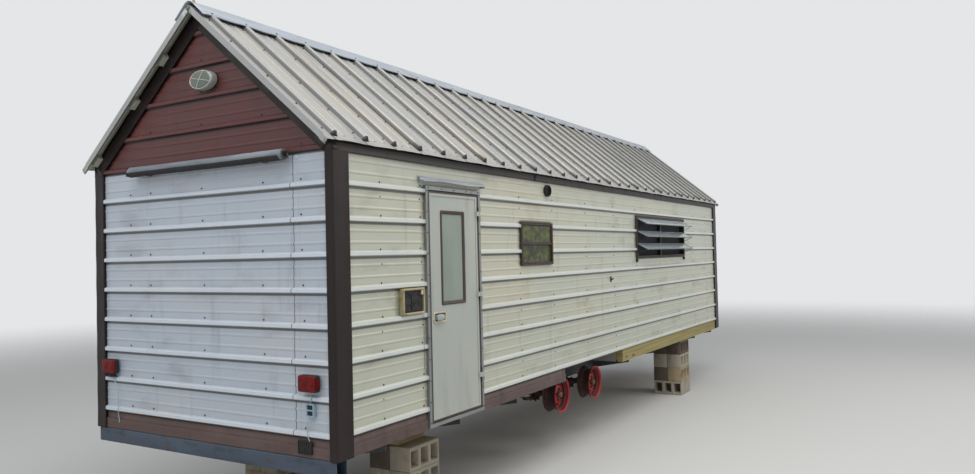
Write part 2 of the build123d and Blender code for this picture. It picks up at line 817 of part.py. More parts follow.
def leaf_pack():
    pack = leaf(spring_half, 0)
    for number in range(1, leaf_count):
        pack += leaf(spring_half * (1 - leaf_taper * number), number)
    for side in (-1, 1):
        eye_up = spring_arch + eye_r - eye_sink
        pack += faceted_drum(side * spring_half, 0, eye_up, eye_r, spring_wide, eye_sides, "Y")
    saddle_top = axle_gap - hanger_gap
    saddle_low = -leaf_thick * leaf_count - saddle_under
    saddle_half = spring_wide / 2 + saddle_side
    return pack + slab(-saddle_long / 2, saddle_long / 2, -saddle_half, saddle_half, saddle_low, saddle_top)


spring_y = door_y + rail_y + rail_flange / 2
spring_z = wheel_z - axle_r - axle_gap
eye_z = spring_z + spring_arch + eye_r - eye_sink
rail_low_z = rail_top_z - rail_deep
packs = [Pos(tail_x + x, spring_y, spring_z) * leaf_pack() for x in wheel_places.values()]
save("leaf_springs", *packs, *[across(pack) for pack in packs])


cheek_in = spring_wide / 2 + hanger_gap
cheek_out = cheek_in + hanger_thick


def cheek_pair(points):
    # the same plate on both sides of the spring, given as (x, z) corners
    plates = [prism([(x, spring_y + y, z) for x, z in points], (0, 1, 0), hanger_thick)
              for y in (cheek_in, -cheek_out)]
    return plates[0] + plates[1]


def hanger_bolt(x):
    # six-sided heads on the outer faces of the cheeks
    out = cheek_out + bolt_out / 2
    heads = [faceted_drum(x, spring_y + y, eye_z, bolt_r, bolt_out, bolt_sides, "Y") for y in (-out, out)]
    return heads[0] + heads[1]


def hanger(x):
    # a pair of cheeks under the rail with the bolt through the spring eye
    low = eye_z - eye_r - hanger_low
    corners = [(x - hanger_half, low), (x + hanger_half, low),
               (x + hanger_half, rail_low_z), (x - hanger_half, rail_low_z)]
    bridge = slab(x - hanger_half, x + hanger_half, spring_y - cheek_out, spring_y + cheek_out,
                  rail_low_z - hanger_thick, rail_low_z)
    return cheek_pair(corners) + bridge + hanger_bolt(x)


def equalizer(x):
    # rocker plates from the middle hanger to the inner eyes of both springs
    corners = [(-equalizer_reach, -equalizer_end), (0, -equalizer_mid), (equalizer_reach, -equalizer_end),
               (equalizer_reach, equalizer_end), (0, equalizer_mid), (-equalizer_reach, equalizer_end)]
    plates = cheek_pair([(x + across_x, eye_z + up) for across_x, up in corners])
    inner_eye = wheel_spacing / 2 - spring_half
    return plates + hanger_bolt(x - inner_eye) + hanger_bolt(x + inner_eye)


middle_x = tail_x + wheel_x + wheel_spacing / 2
outer_x0 = tail_x + wheel_x - spring_half
outer_x1 = tail_x + wheel_x + wheel_spacing + spring_half
hangers = [hanger(outer_x0), hanger(middle_x) + equalizer(middle_x), hanger(outer_x1)]
save("spring_hangers", *hangers, *[across(item) for item in hangers])


# Piers: dry-laid hollow blocks, cores level, the bottom course turned a quarter
def pier_course(level, turned):
    course = Box(block_long, block_long, block_high - block_joint)
    spread = block_long / core_count
    for number in range(core_count):
        offset = (number - (core_count - 1) / 2) * spread
        if turned:
            course -= Pos(0, offset, 0) * Box(block_long + over, core_wide, core_high)
        else:
            course -= Pos(offset, 0, 0) * Box(core_wide, block_long + over, core_high)
    bed_long = block_long - 2 * bed_inset
    bed = Pos(0, 0, -block_high / 2) * Box(bed_long, bed_long, block_joint)
    middle = Pos(0, 0, (level + 0.5) * block_high + block_joint / 2)
    return middle * (course + bed)


def pier(courses, first_turned):
    stack = pier_course(0, first_turned)
    for level in range(1, courses):
        stack += pier_course(level, False)
    return stack


hitch_place = Pos(tail_x + hitch_pier_x + block_long / 2, door_y + block_long / 2, 0)
hitch_pier = hitch_place * pier(hitch_pier_courses, True)
tail_pier_y = door_y + rail_y + rail_flange / 2
tail_pier = Pos(tail_x + tail_pier_x + block_long / 2, tail_pier_y, 0) * pier(tail_pier_courses, False)
save("block_piers", hitch_pier, across(hitch_pier), tail_pier, across(tail_pier))
tail_pier_top = tail_pier_courses * block_high
packing_x0 = tail_x + tail_pier_x + packing_inset
packing_x1 = tail_x + tail_pier_x + block_long - packing_inset
packing = slab(packing_x0, packing_x1, tail_pier_y - packing_half, tail_pier_y + packing_half,
               tail_pier_top, rail_low_z)
save("pier_packing", packing, across(packing))


# Window frames: a flange round the hole, a liner through the wall, and rails across
def frame_ring(x, wide, low, high, flange, liner, depth):
    flange_ring = side_slab(x, x + wide, -frame_proud, wall_in0, low, high)
    flange_ring -= side_slab(x + flange, x + wide - flange, -over, over, low + flange, high - flange)
    outer = side_slab(x + flange - liner, x + wide - flange + liner, wall_in0, wall_in0 + depth,
                      low + flange - liner, high - flange + liner)
    inner = side_slab(x + flange, x + wide - flange, -over, depth + over, low + flange, high - flange)
    return flange_ring + (outer - inner)


small_mid = (small_low + small_high) / 2
small_frame = frame_ring(small_x, small_wide, small_low, small_high, small_flange, window_liner, window_depth)
small_frame += side_slab(small_x + small_flange, small_x + small_wide - small_flange,
                         -frame_proud + small_rail_sink, small_rail_back,
                         small_mid - small_rail_half, small_mid + small_rail_half)
awning_frame = frame_ring(awning_x, awning_wide, awning_low, awning_high,
                          awning_flange, window_liner, window_depth)
awning_mid = awning_x + awning_wide / 2
awning_frame += side_slab(awning_mid - mullion_wide / 2, awning_mid + mullion_wide / 2,
                          mullion_face, mullion_back, awning_low + awning_flange, awning_high - awning_flange)
save("window_frames", small_frame, awning_frame, across(small_frame), across(awning_frame))

# Glass: two fixed lights in the small window, three swung panes in the wide one
small_light_low = side_slab(small_x + small_flange, small_x + small_wide - small_flange, 0, glass_thick,
                            small_low + small_flange, small_mid - small_rail_half)
small_light_high = side_slab(small_x + small_flange, small_x + small_wide - small_flange,
                             -small_light_step, glass_thick - small_light_step,
                             small_mid + small_rail_half, small_high - small_flange)
pane_high = (awning_high - awning_low - 2 * awning_flange) / awning_panes
pane_x0 = tail_x + awning_x + awning_flange + pane_side_gap
pane_x1 = tail_x + awning_x + awning_wide - awning_flange - pane_side_gap


def swung_pane(number):
    pivot_z = foot_z + awning_high - awning_flange - number * pane_high - pane_drop
    pivot_y = door_y - frame_proud + pane_set
    pane = slab(pane_x0, pane_x1, -awning_glass, 0, -pane_high + pane_short, 0)
    pane += slab(pane_x0, pane_x1, -awning_glass, pane_hem, -awning_pane_rim, pane_hem_top)
    pane += slab(pane_x0 - pane_side_gap, pane_x1 + pane_side_gap, -pane_pin_wide / 2, pane_pin_wide / 2,
                 -pane_pin_wide / 2, pane_pin_wide / 2)
    return Pos(0, pivot_y, pivot_z) * Rot(-awning_swing, 0, 0) * pane


swung = [swung_pane(number) for number in range(awning_panes)]
lights = [small_light_low, small_light_high] + swung
save("window_panes", *lights, *[across(light) for light in lights])
screen = side_slab(awning_x + awning_flange, awning_x + awning_wide - awning_flange,
                   screen_in, screen_in + screen_thick,
                   awning_low + awning_flange, awning_high - awning_flange)
save("window_screens", screen, across(screen))

# Door frame, leaf, glass, latch and hinges
door_frame = frame_ring(door_x, door_wide, door_low, door_high, door_flange, frame_liner, wall_thick)
leaf_x0 = door_x + door_flange + door_gap
leaf_x1 = door_x + door_wide - door_flange - door_gap
leaf_z0 = door_low + door_flange + door_gap
leaf_z1 = door_high - door_flange - door_gap
leaf_body = side_slab(leaf_x0, leaf_x1, -door_face, -door_face + door_leaf_thick, leaf_z0, leaf_z1)
leaf_body -= side_slab(leaf_x0 + door_edge, leaf_x1 - door_edge, -over, -door_face + door_field_sink,
                       leaf_z0 + door_edge, leaf_z1 - door_edge)
glass_x1 = door_glass_x + door_glass_wide
leaf_body -= side_slab(door_glass_x, glass_x1, -over, over, door_glass_low, door_glass_high)
hinge_x = tail_x + (leaf_x1 + door_x + door_wide - door_flange) / 2
hinge_y = door_y - frame_proud - hinge_barrel_r - hinge_stand
knuckle_long = hinge_length / 3 - knuckle_gap
for low in hinge_heights:
    mid_z = foot_z + low + hinge_length / 2
    plate_y0 = hinge_y - hinge_half_thick
    plate_y1 = hinge_y + hinge_half_thick
    foot_x = hinge_x - hinge_plate - hinge_foot
    z0 = mid_z - knuckle_long / 2
    z1 = mid_z + knuckle_long / 2
    knuckle = faceted_drum(hinge_x, hinge_y, mid_z, hinge_barrel_r, knuckle_long, hinge_sides, "Z")
    leaf_wing = slab(hinge_x - hinge_plate - hinge_wing, hinge_x, plate_y0, plate_y1, z0, z1)
    leaf_foot = slab(foot_x, hinge_x - hinge_foot, plate_y0, door_y - door_face, z0, z1)
    bore_r = (hinge_pin_r + pin_clear) / cos(pi / pin_sides)
    bore = faceted_drum(hinge_x, hinge_y, mid_z, bore_r, hinge_length, pin_sides, "Z")
    leaf_body += (knuckle + leaf_wing + leaf_foot) - bore
    fixed = faceted_drum(hinge_x, hinge_y, mid_z, hinge_pin_r, hinge_length - knuckle_gap, pin_sides, "Z")
    for side in (-1, 1):
        ring_z = mid_z + side * hinge_length / 3
        z0 = ring_z - knuckle_long / 2
        z1 = ring_z + knuckle_long / 2
        fixed += faceted_drum(hinge_x, hinge_y, ring_z, hinge_barrel_r, knuckle_long, hinge_sides, "Z")
        fixed += slab(hinge_x, hinge_x + hinge_plate, plate_y0, plate_y1, z0, z1)
        fixed += slab(hinge_x + hinge_foot, hinge_x + hinge_plate, plate_y0, door_y - frame_proud, z0, z1)
    door_frame += fixed
save("door_frame", door_frame)
save("door_leaf", leaf_body)
glass_in = -door_face + door_glass_in
door_glass = side_slab(door_glass_x, glass_x1, glass_in, glass_in + glass_thick,
                       door_glass_low, door_glass_high)
field_in = -door_face + door_field_sink
glass_rim = side_slab(door_glass_x - door_glass_rim, glass_x1 + door_glass_rim, -door_face - glass_rim_proud,
                      field_in - trim_gap, door_glass_low - door_glass_rim, door_glass_high + door_glass_rim)
glass_rim -= side_slab(door_glass_x + glass_rim_lap, glass_x1 - glass_rim_lap, -over, over,
                       door_glass_low + glass_rim_lap, door_glass_high - glass_rim_lap)
save("door_glass", door_glass)
save("door_glass_rim", glass_rim)
plate_face = field_in - latch_plate_thick
latch_top = latch_low + latch_high
latch_plate = side_slab(latch_x, latch_x + latch_wide, plate_face, field_in, latch_low, latch_top)
latch_pull = side_slab(latch_x + latch_pull_x, latch_x + latch_wide - latch_pull_end, -door_face - latch_deep,
                       plate_face, latch_low + latch_pull_edge, latch_top - latch_pull_edge)
save("door_latch", latch_plate + latch_pull)

# Drip cap over the door: a bent strip rising to the wall
drip_in = drip_out - trim_thick
drip_profile = ((trim_gap, drip_rise), (drip_out, 0), (drip_out, -drip_hem), (drip_in, -drip_hem),
                (drip_in, -trim_thick), (trim_gap, drip_rise - 1.5 * trim_thick))
drip_points = [(tail_x + drip_x, door_y - out, foot_z + drip_z + up) for out, up in drip_profile]
save("drip_cap", prism(drip_points, (1, 0, 0), drip_wide))

# Fittings on the walls
vent_y = door_y - trim_gap - vent_deep / 2
vent = faceted_drum(tail_x + vent_x, vent_y, foot_z + vent_z, vent_r, vent_deep, vent_sides, "Y")
save("round_vent", vent)
box_x1 = box_x + box_wide
box_top = box_z + box_high
box_body = side_slab(box_x, box_x1, -box_deep, wall_in0, box_z, box_top)
box_well = side_slab(box_x + box_frame, box_x1 - box_frame, -box_deep - over, -box_deep + box_sink,
                     box_z + box_frame, box_top - box_frame)
save("side_box", box_body - box_well)

# Gable lamp: a drum on the rib crests with a foot down to the sheet
lamp_face = rib_height + lamp_deep
lamp_outline = [(0, trim_gap), (lamp_foot_r, trim_gap), (lamp_foot_r, rib_height), (lamp_r, rib_height),
                (lamp_r, lamp_face - lamp_face_deep), (lamp_face_r, lamp_face), (0, lamp_face)]
lamp_z = foot_z + ridge_height - lamp_under_ridge
lamp_place = Pos(tail_x, -lamp_off_ridge, lamp_z) * Rot(0, 0, 90)
save("gable_lamp", lamp_place * faceted_turn(lamp_outline, lamp_sides))

# Rolled awning: a tube on two feet with a squared end on the door side
tube_x = tail_x - rib_height - tube_r - tube_stand
tube_y0 = door_y + tube_door_in
tube_y1 = -door_y - tube_back_in
tube_z_at = foot_z + tube_z
roll = faceted_drum(tube_x, (tube_y0 + tube_y1) / 2, tube_z_at, tube_r, tube_y1 - tube_y0, tube_sides, "Y")
roll += slab(tube_x - tube_end_half, tube_x + tube_end_half, tube_y0, tube_y0 + tube_end_long,
             tube_z_at - tube_end_half, tube_z_at + tube_end_half)
for y in (tube_y0 + tube_foot_in, tube_y1 - tube_foot_in):
    roll += slab(tube_x, tail_x - rib_height - trim_gap, y - tube_foot_half, y + tube_foot_half,
                 tube_z_at - tube_foot_high, tube_z_at + tube_foot_high)
save("rolled_awning", roll)


def tail_lamp(y):
    half_high = tail_lamp_high / 2
    half_wide = tail_lamp_wide / 2
    back = end_slab(-tail_bracket, -trim_gap, y - tail_back_half, y + tail_back_half,
                    tail_lamp_z - tail_back_high, tail_lamp_z + tail_back_high)
    body = end_slab(-tail_bracket - tail_lamp_deep, -tail_bracket, y - half_wide, y + half_wide,
                    tail_lamp_z - half_high, tail_lamp_z + half_high)
    return back + body


plate_half_wide = plate_lamp_wide / 2
plate_half_high = plate_lamp_high / 2
plate_lamp = end_slab(-plate_lamp_deep, -trim_gap,
                      plate_lamp_y - plate_half_wide, plate_lamp_y + plate_half_wide,
                      plate_lamp_z - plate_half_high, plate_lamp_z + plate_half_high)
save("tail_lamps", tail_lamp(tail_lamp_door_in), tail_lamp(house_width - tail_lamp_back_in))
save("plate_lamp", plate_lamp)
hatch = end_slab(-skirt_step - hatch_deep, -skirt_step - trim_gap, hatch_y, hatch_y + hatch_wide,
                 hatch_low, hatch_high)
save("cord_hatch", hatch)


# Lamp wires: down over the rib crests, one in to the skirt and one to the hatch
wire_x = tail_x - rib_height - trim_gap - wire_r
skirt_wire_x = tail_x - skirt_step - trim_gap - wire_r
wire_y = -door_y - wire_back_in
tail_wire_top = foot_z + tail_lamp_z - tail_lamp_high / 2
plate_wire_top = plate_lamp_z - plate_half_high
wire_points = [(wire_x, wire_y, tail_wire_top), (wire_x, wire_y, foot_z),
               (skirt_wire_x, wire_y, foot_z - skirt_step_drop), (skirt_wire_x, wire_y, foot_z + wire_end_z)]
wire_face = section(*wire_points[0], wire_r, wire_sides, "Z")
tail_wire = sweep(wire_face, path=Polyline(*wire_points), transition=Transition.RIGHT)
plate_wire = faceted_drum(wire_x, door_y + plate_wire_y, foot_z + (plate_wire_top + hatch_high) / 2, wire_r,
                          plate_wire_top - hatch_high, wire_sides, "Z")
save("lamp_wires", tail_wire, plate_wire)
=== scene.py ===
import bmesh
import bpy
import numpy as np
from mathutils import Matrix, Vector


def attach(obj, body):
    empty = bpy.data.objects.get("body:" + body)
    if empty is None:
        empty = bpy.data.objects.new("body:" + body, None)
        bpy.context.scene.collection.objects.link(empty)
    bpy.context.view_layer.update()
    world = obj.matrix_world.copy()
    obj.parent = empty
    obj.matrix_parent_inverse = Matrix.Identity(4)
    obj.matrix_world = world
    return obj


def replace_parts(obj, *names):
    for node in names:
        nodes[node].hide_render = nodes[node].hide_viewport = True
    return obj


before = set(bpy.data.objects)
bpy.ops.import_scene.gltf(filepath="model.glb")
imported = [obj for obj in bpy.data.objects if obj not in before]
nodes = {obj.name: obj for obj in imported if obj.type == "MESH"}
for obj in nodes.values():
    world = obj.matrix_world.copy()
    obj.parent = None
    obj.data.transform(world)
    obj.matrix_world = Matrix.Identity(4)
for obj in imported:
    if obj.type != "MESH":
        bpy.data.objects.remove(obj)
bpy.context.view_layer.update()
print("frame loaded:", len(nodes), "nodes")

# Metres. On the body, x runs from the tail wall, y from the door wall and z from the foot of the siding.
house = {"tail": -5.167, "hitch": 3.977, "doorY": -1.219, "foot": 0.905, "long": 9.144, "wide": 2.438,
         "wallHigh": 1.8288, "seat": 1.929, "pitch": 10 / 12}
slopeLong = np.hypot(1, house["pitch"]) * house["wide"] / 2
slopeCos = house["wide"] / 2 / slopeLong
slopeSin = slopeCos * house["pitch"]

# Ribbed sheets: one major and two minor ribs a pitch
wallRib = {"pitch": 0.2286, "first": 0.023, "base": 0.046, "crest": 0.022, "high": 0.019,
           "minorBase": 0.022, "minorCrest": 0.008, "minorHigh": 0.0027}
roofRib = {"pitch": 0.3048, "first": 0.0, "base": 0.062, "crest": 0.024, "high": 0.030,
           "minorBase": 0.028, "minorCrest": 0.012, "minorHigh": 0.004}


# Finishes: a shader built from layers of colour and bumps, each with a mask on Object coordinates
def addNode(tree, kind, sockets=None, **settings):
    made = tree.nodes.new("ShaderNode" + kind)
    for key, value in settings.items():
        setattr(made, key, value)
    for key, value in (sockets or {}).items():
        if isinstance(value, bpy.types.NodeSocket):
            tree.links.new(value, made.inputs[key])
        else:
            made.inputs[key].default_value = value
    return made


# A value from 0 to 1: noise, cells, wood grain or a repeating stripe, stretched between low and high
def maskOf(tree, at, spec):
    kind = spec.get("kind", "noise")
    moved = addNode(tree, "Mapping", {"Vector": at, "Scale": spec["scale"], "Location": spec.get("shift", (0, 0, 0))})
    sockets = {"Vector": moved.outputs[0]}
    if kind == "noise":
        sockets.update({"Scale": 1.0, "Detail": spec.get("detail", 4.0), "Roughness": 0.55})
        value = addNode(tree, "TexNoise", sockets).outputs["Fac"]
    elif kind == "cells":
        value = addNode(tree, "TexVoronoi", {**sockets, "Scale": 1.0}).outputs[0]
    elif kind == "grain":
        sockets.update({"Scale": 1.0, "Distortion": spec.get("bend", 4.0), "Detail": 2.0, "Detail Scale": 1.0})
        value = addNode(tree, "TexWave", sockets, bands_direction=spec["axis"]).outputs["Fac"]
    else:  # stripe: how far along one pitch of an axis
        split = addNode(tree, "SeparateXYZ", sockets).outputs[spec.get("axis", "Z")]
        value = addNode(tree, "Math", {0: split, 1: 1.0}, operation="FLOORED_MODULO").outputs[0]
    value = addNode(tree, "MapRange", {"Value": value, "From Min": spec["low"], "From Max": spec["high"],
                                       "To Min": 0.0, "To Max": spec["most"]},
                                       interpolation_type="SMOOTHSTEP").outputs[0]
    if "times" in spec:
        value = addNode(tree, "Math", {0: value, 1: maskOf(tree, at, spec["times"])}, operation="MULTIPLY").outputs[0]
    return value


# sRGB numbers from 0 to 255 as the linear colour that the shader takes
def rgba(colour):
    part = np.array(colour, float) / 255
    return (*np.where(part <= 0.04045, part / 12.92, ((part + 0.055) / 1.055) ** 2.4), 1.0)


# Principled surface: each layer mixes its colour and its roughness over the last by its mask
def finish(name, colour, rough, layers, bumps, sockets=None):
    made = bpy.data.materials.new(name)
    made.use_nodes = True
    tree = made.node_tree
    shader = tree.nodes["Principled BSDF"]
    at = addNode(tree, "TexCoord").outputs["Object"]
    for key, value in {"Base Color": rgba(colour), "Roughness": rough, **(sockets or {})}.items():
        shader.inputs[key].default_value = value
    tint, gloss = rgba(colour), rough
    for layer in layers:
        amount = maskOf(tree, at, layer)
        if layer["colour"]:
            ports = {"Factor": amount, 6: tint, 7: rgba(layer["colour"])}
            tint = addNode(tree, "Mix", ports, data_type="RGBA").outputs[2]
            tree.links.new(tint, shader.inputs["Base Color"])
        if layer["gloss"]:
            gloss = addNode(tree, "Mix", {"Factor": amount, 2: gloss, 3: layer["gloss"]}).outputs[0]
            tree.links.new(gloss, shader.inputs["Roughness"])
    ports = {}
    for bump in bumps:
        ports.update({"Height": maskOf(tree, at, bump), "Strength": bump["strength"], "Distance": bump["deep"]})
        ports["Normal"] = addNode(tree, "Bump", ports).outputs[0]
    tree.links.new(ports["Normal"], shader.inputs["Normal"])
    return made


# One layer: waves a metre (one number, or one for each axis), the range that shows, how much, and what it brings
def coat(scale, low, high, most=1.0, colour=None, gloss=None, **more):
    scale = scale if isinstance(scale, tuple) else (scale, scale, scale)
    return {"scale": scale, "low": low, "high": high, "most": most, "colour": colour, "gloss": gloss, **more}


# One bump: waves a metre, strength, and depth in metres
def dent(scale, strength, deep, high=1.0, **more):
    return coat(scale, 0.0, high, strength=strength, deep=deep, **more)


# A band along every rib, where two ramps over one pitch of the ribs overlap
def ribBand(pitch, first, second, most, colour, gloss=None):
    return coat(pitch["scale"], *first, most, colour, gloss, kind="stripe", axis=pitch["axis"], shift=pitch["shift"],
                times=coat(pitch["scale"], *second, kind="stripe", axis=pitch["axis"], shift=pitch["shift"]))


# one pitch of the wall's ribs, from 14 mm under a rib, and of the roof's, from 40 mm on the tail side of a rib
wallPitch = {"scale": (1, 1, 1 / wallRib["pitch"]), "axis": "Z", "shift": (0, 0,
    -house["foot"] / wallRib["pitch"] + 0.06)}
roofPitch = {"scale": (1 / roofRib["pitch"], 1, 1), "axis": "X", "shift": (-house["tail"] / roofRib["pitch"] + 0.13, 0,
    0)}
# The first band is painted shade under each wall rib. The second is a pale painted highlight on each crest. The third
# is painted shade on each roof rib's tail-side flank.
shadeUnderRib = ((0.118, 0.07), (0.0, 0.025))
highlightOnCrest = ((0.105, 0.13), (0.262, 0.20))
shadeBesideRib = ((0.082, 0.058), (0.008, 0.026))
dull = {"Specular IOR Level": 0.25}


# Baked enamel on ribbed sheet: warm patches in long level streaks painted as warm reflections, dirt stains, painted
# shade under each rib, a pale painted highlight on each crest and a wavy skin
def wallPaint(colour, dirt, warm, crest):
    return (colour, 0.34, [
        # painted warm reflection in long level streaks
        coat((0.55, 0.55, 1.3), 0.42, 0.75, 0.55, warm),
        coat((2.2, 2.2, 5), 0.5, 0.85, 0.5, dirt, 0.5),
        coat((9, 9, 1.1), 0.55, 0.8, 0.35, dirt),
        # painted shade under each rib
        ribBand(wallPitch, *shadeUnderRib, 0.86, (70, 72, 68)),
        # painted bluish highlight on each crest
        ribBand(wallPitch, *highlightOnCrest, 0.7, crest, 0.26),
        coat(160, 0.66, 0.74, 0.5, dirt, times=coat((1.1, 1.1, 2), 0.35, 0.65)),
    ], [dent((0.35, 0.35, 1.6), 0.12, 0.02, detail=2.0), dent(600, 0.04, 0.0004)],
        {"Specular IOR Level": 0.5, "Coat Weight": 0.12, "Coat Roughness": 0.25})


# Cast block: pale and dark patches with open pores
def blockPaint(colour, rough, pale, dark, pore, patch=7, specks=()):
    return (colour, rough, [
        coat(3, 0.4, 0.7, 0.7, pale), coat(patch, 0.5, 0.75, 0.7, dark), coat(150, 0.55, 0.7, 0.6, pore), *specks,
    ], [dent(70, 0.7, 0.004), dent(180, 0.5, 0.002, 0.6, kind="cells")])


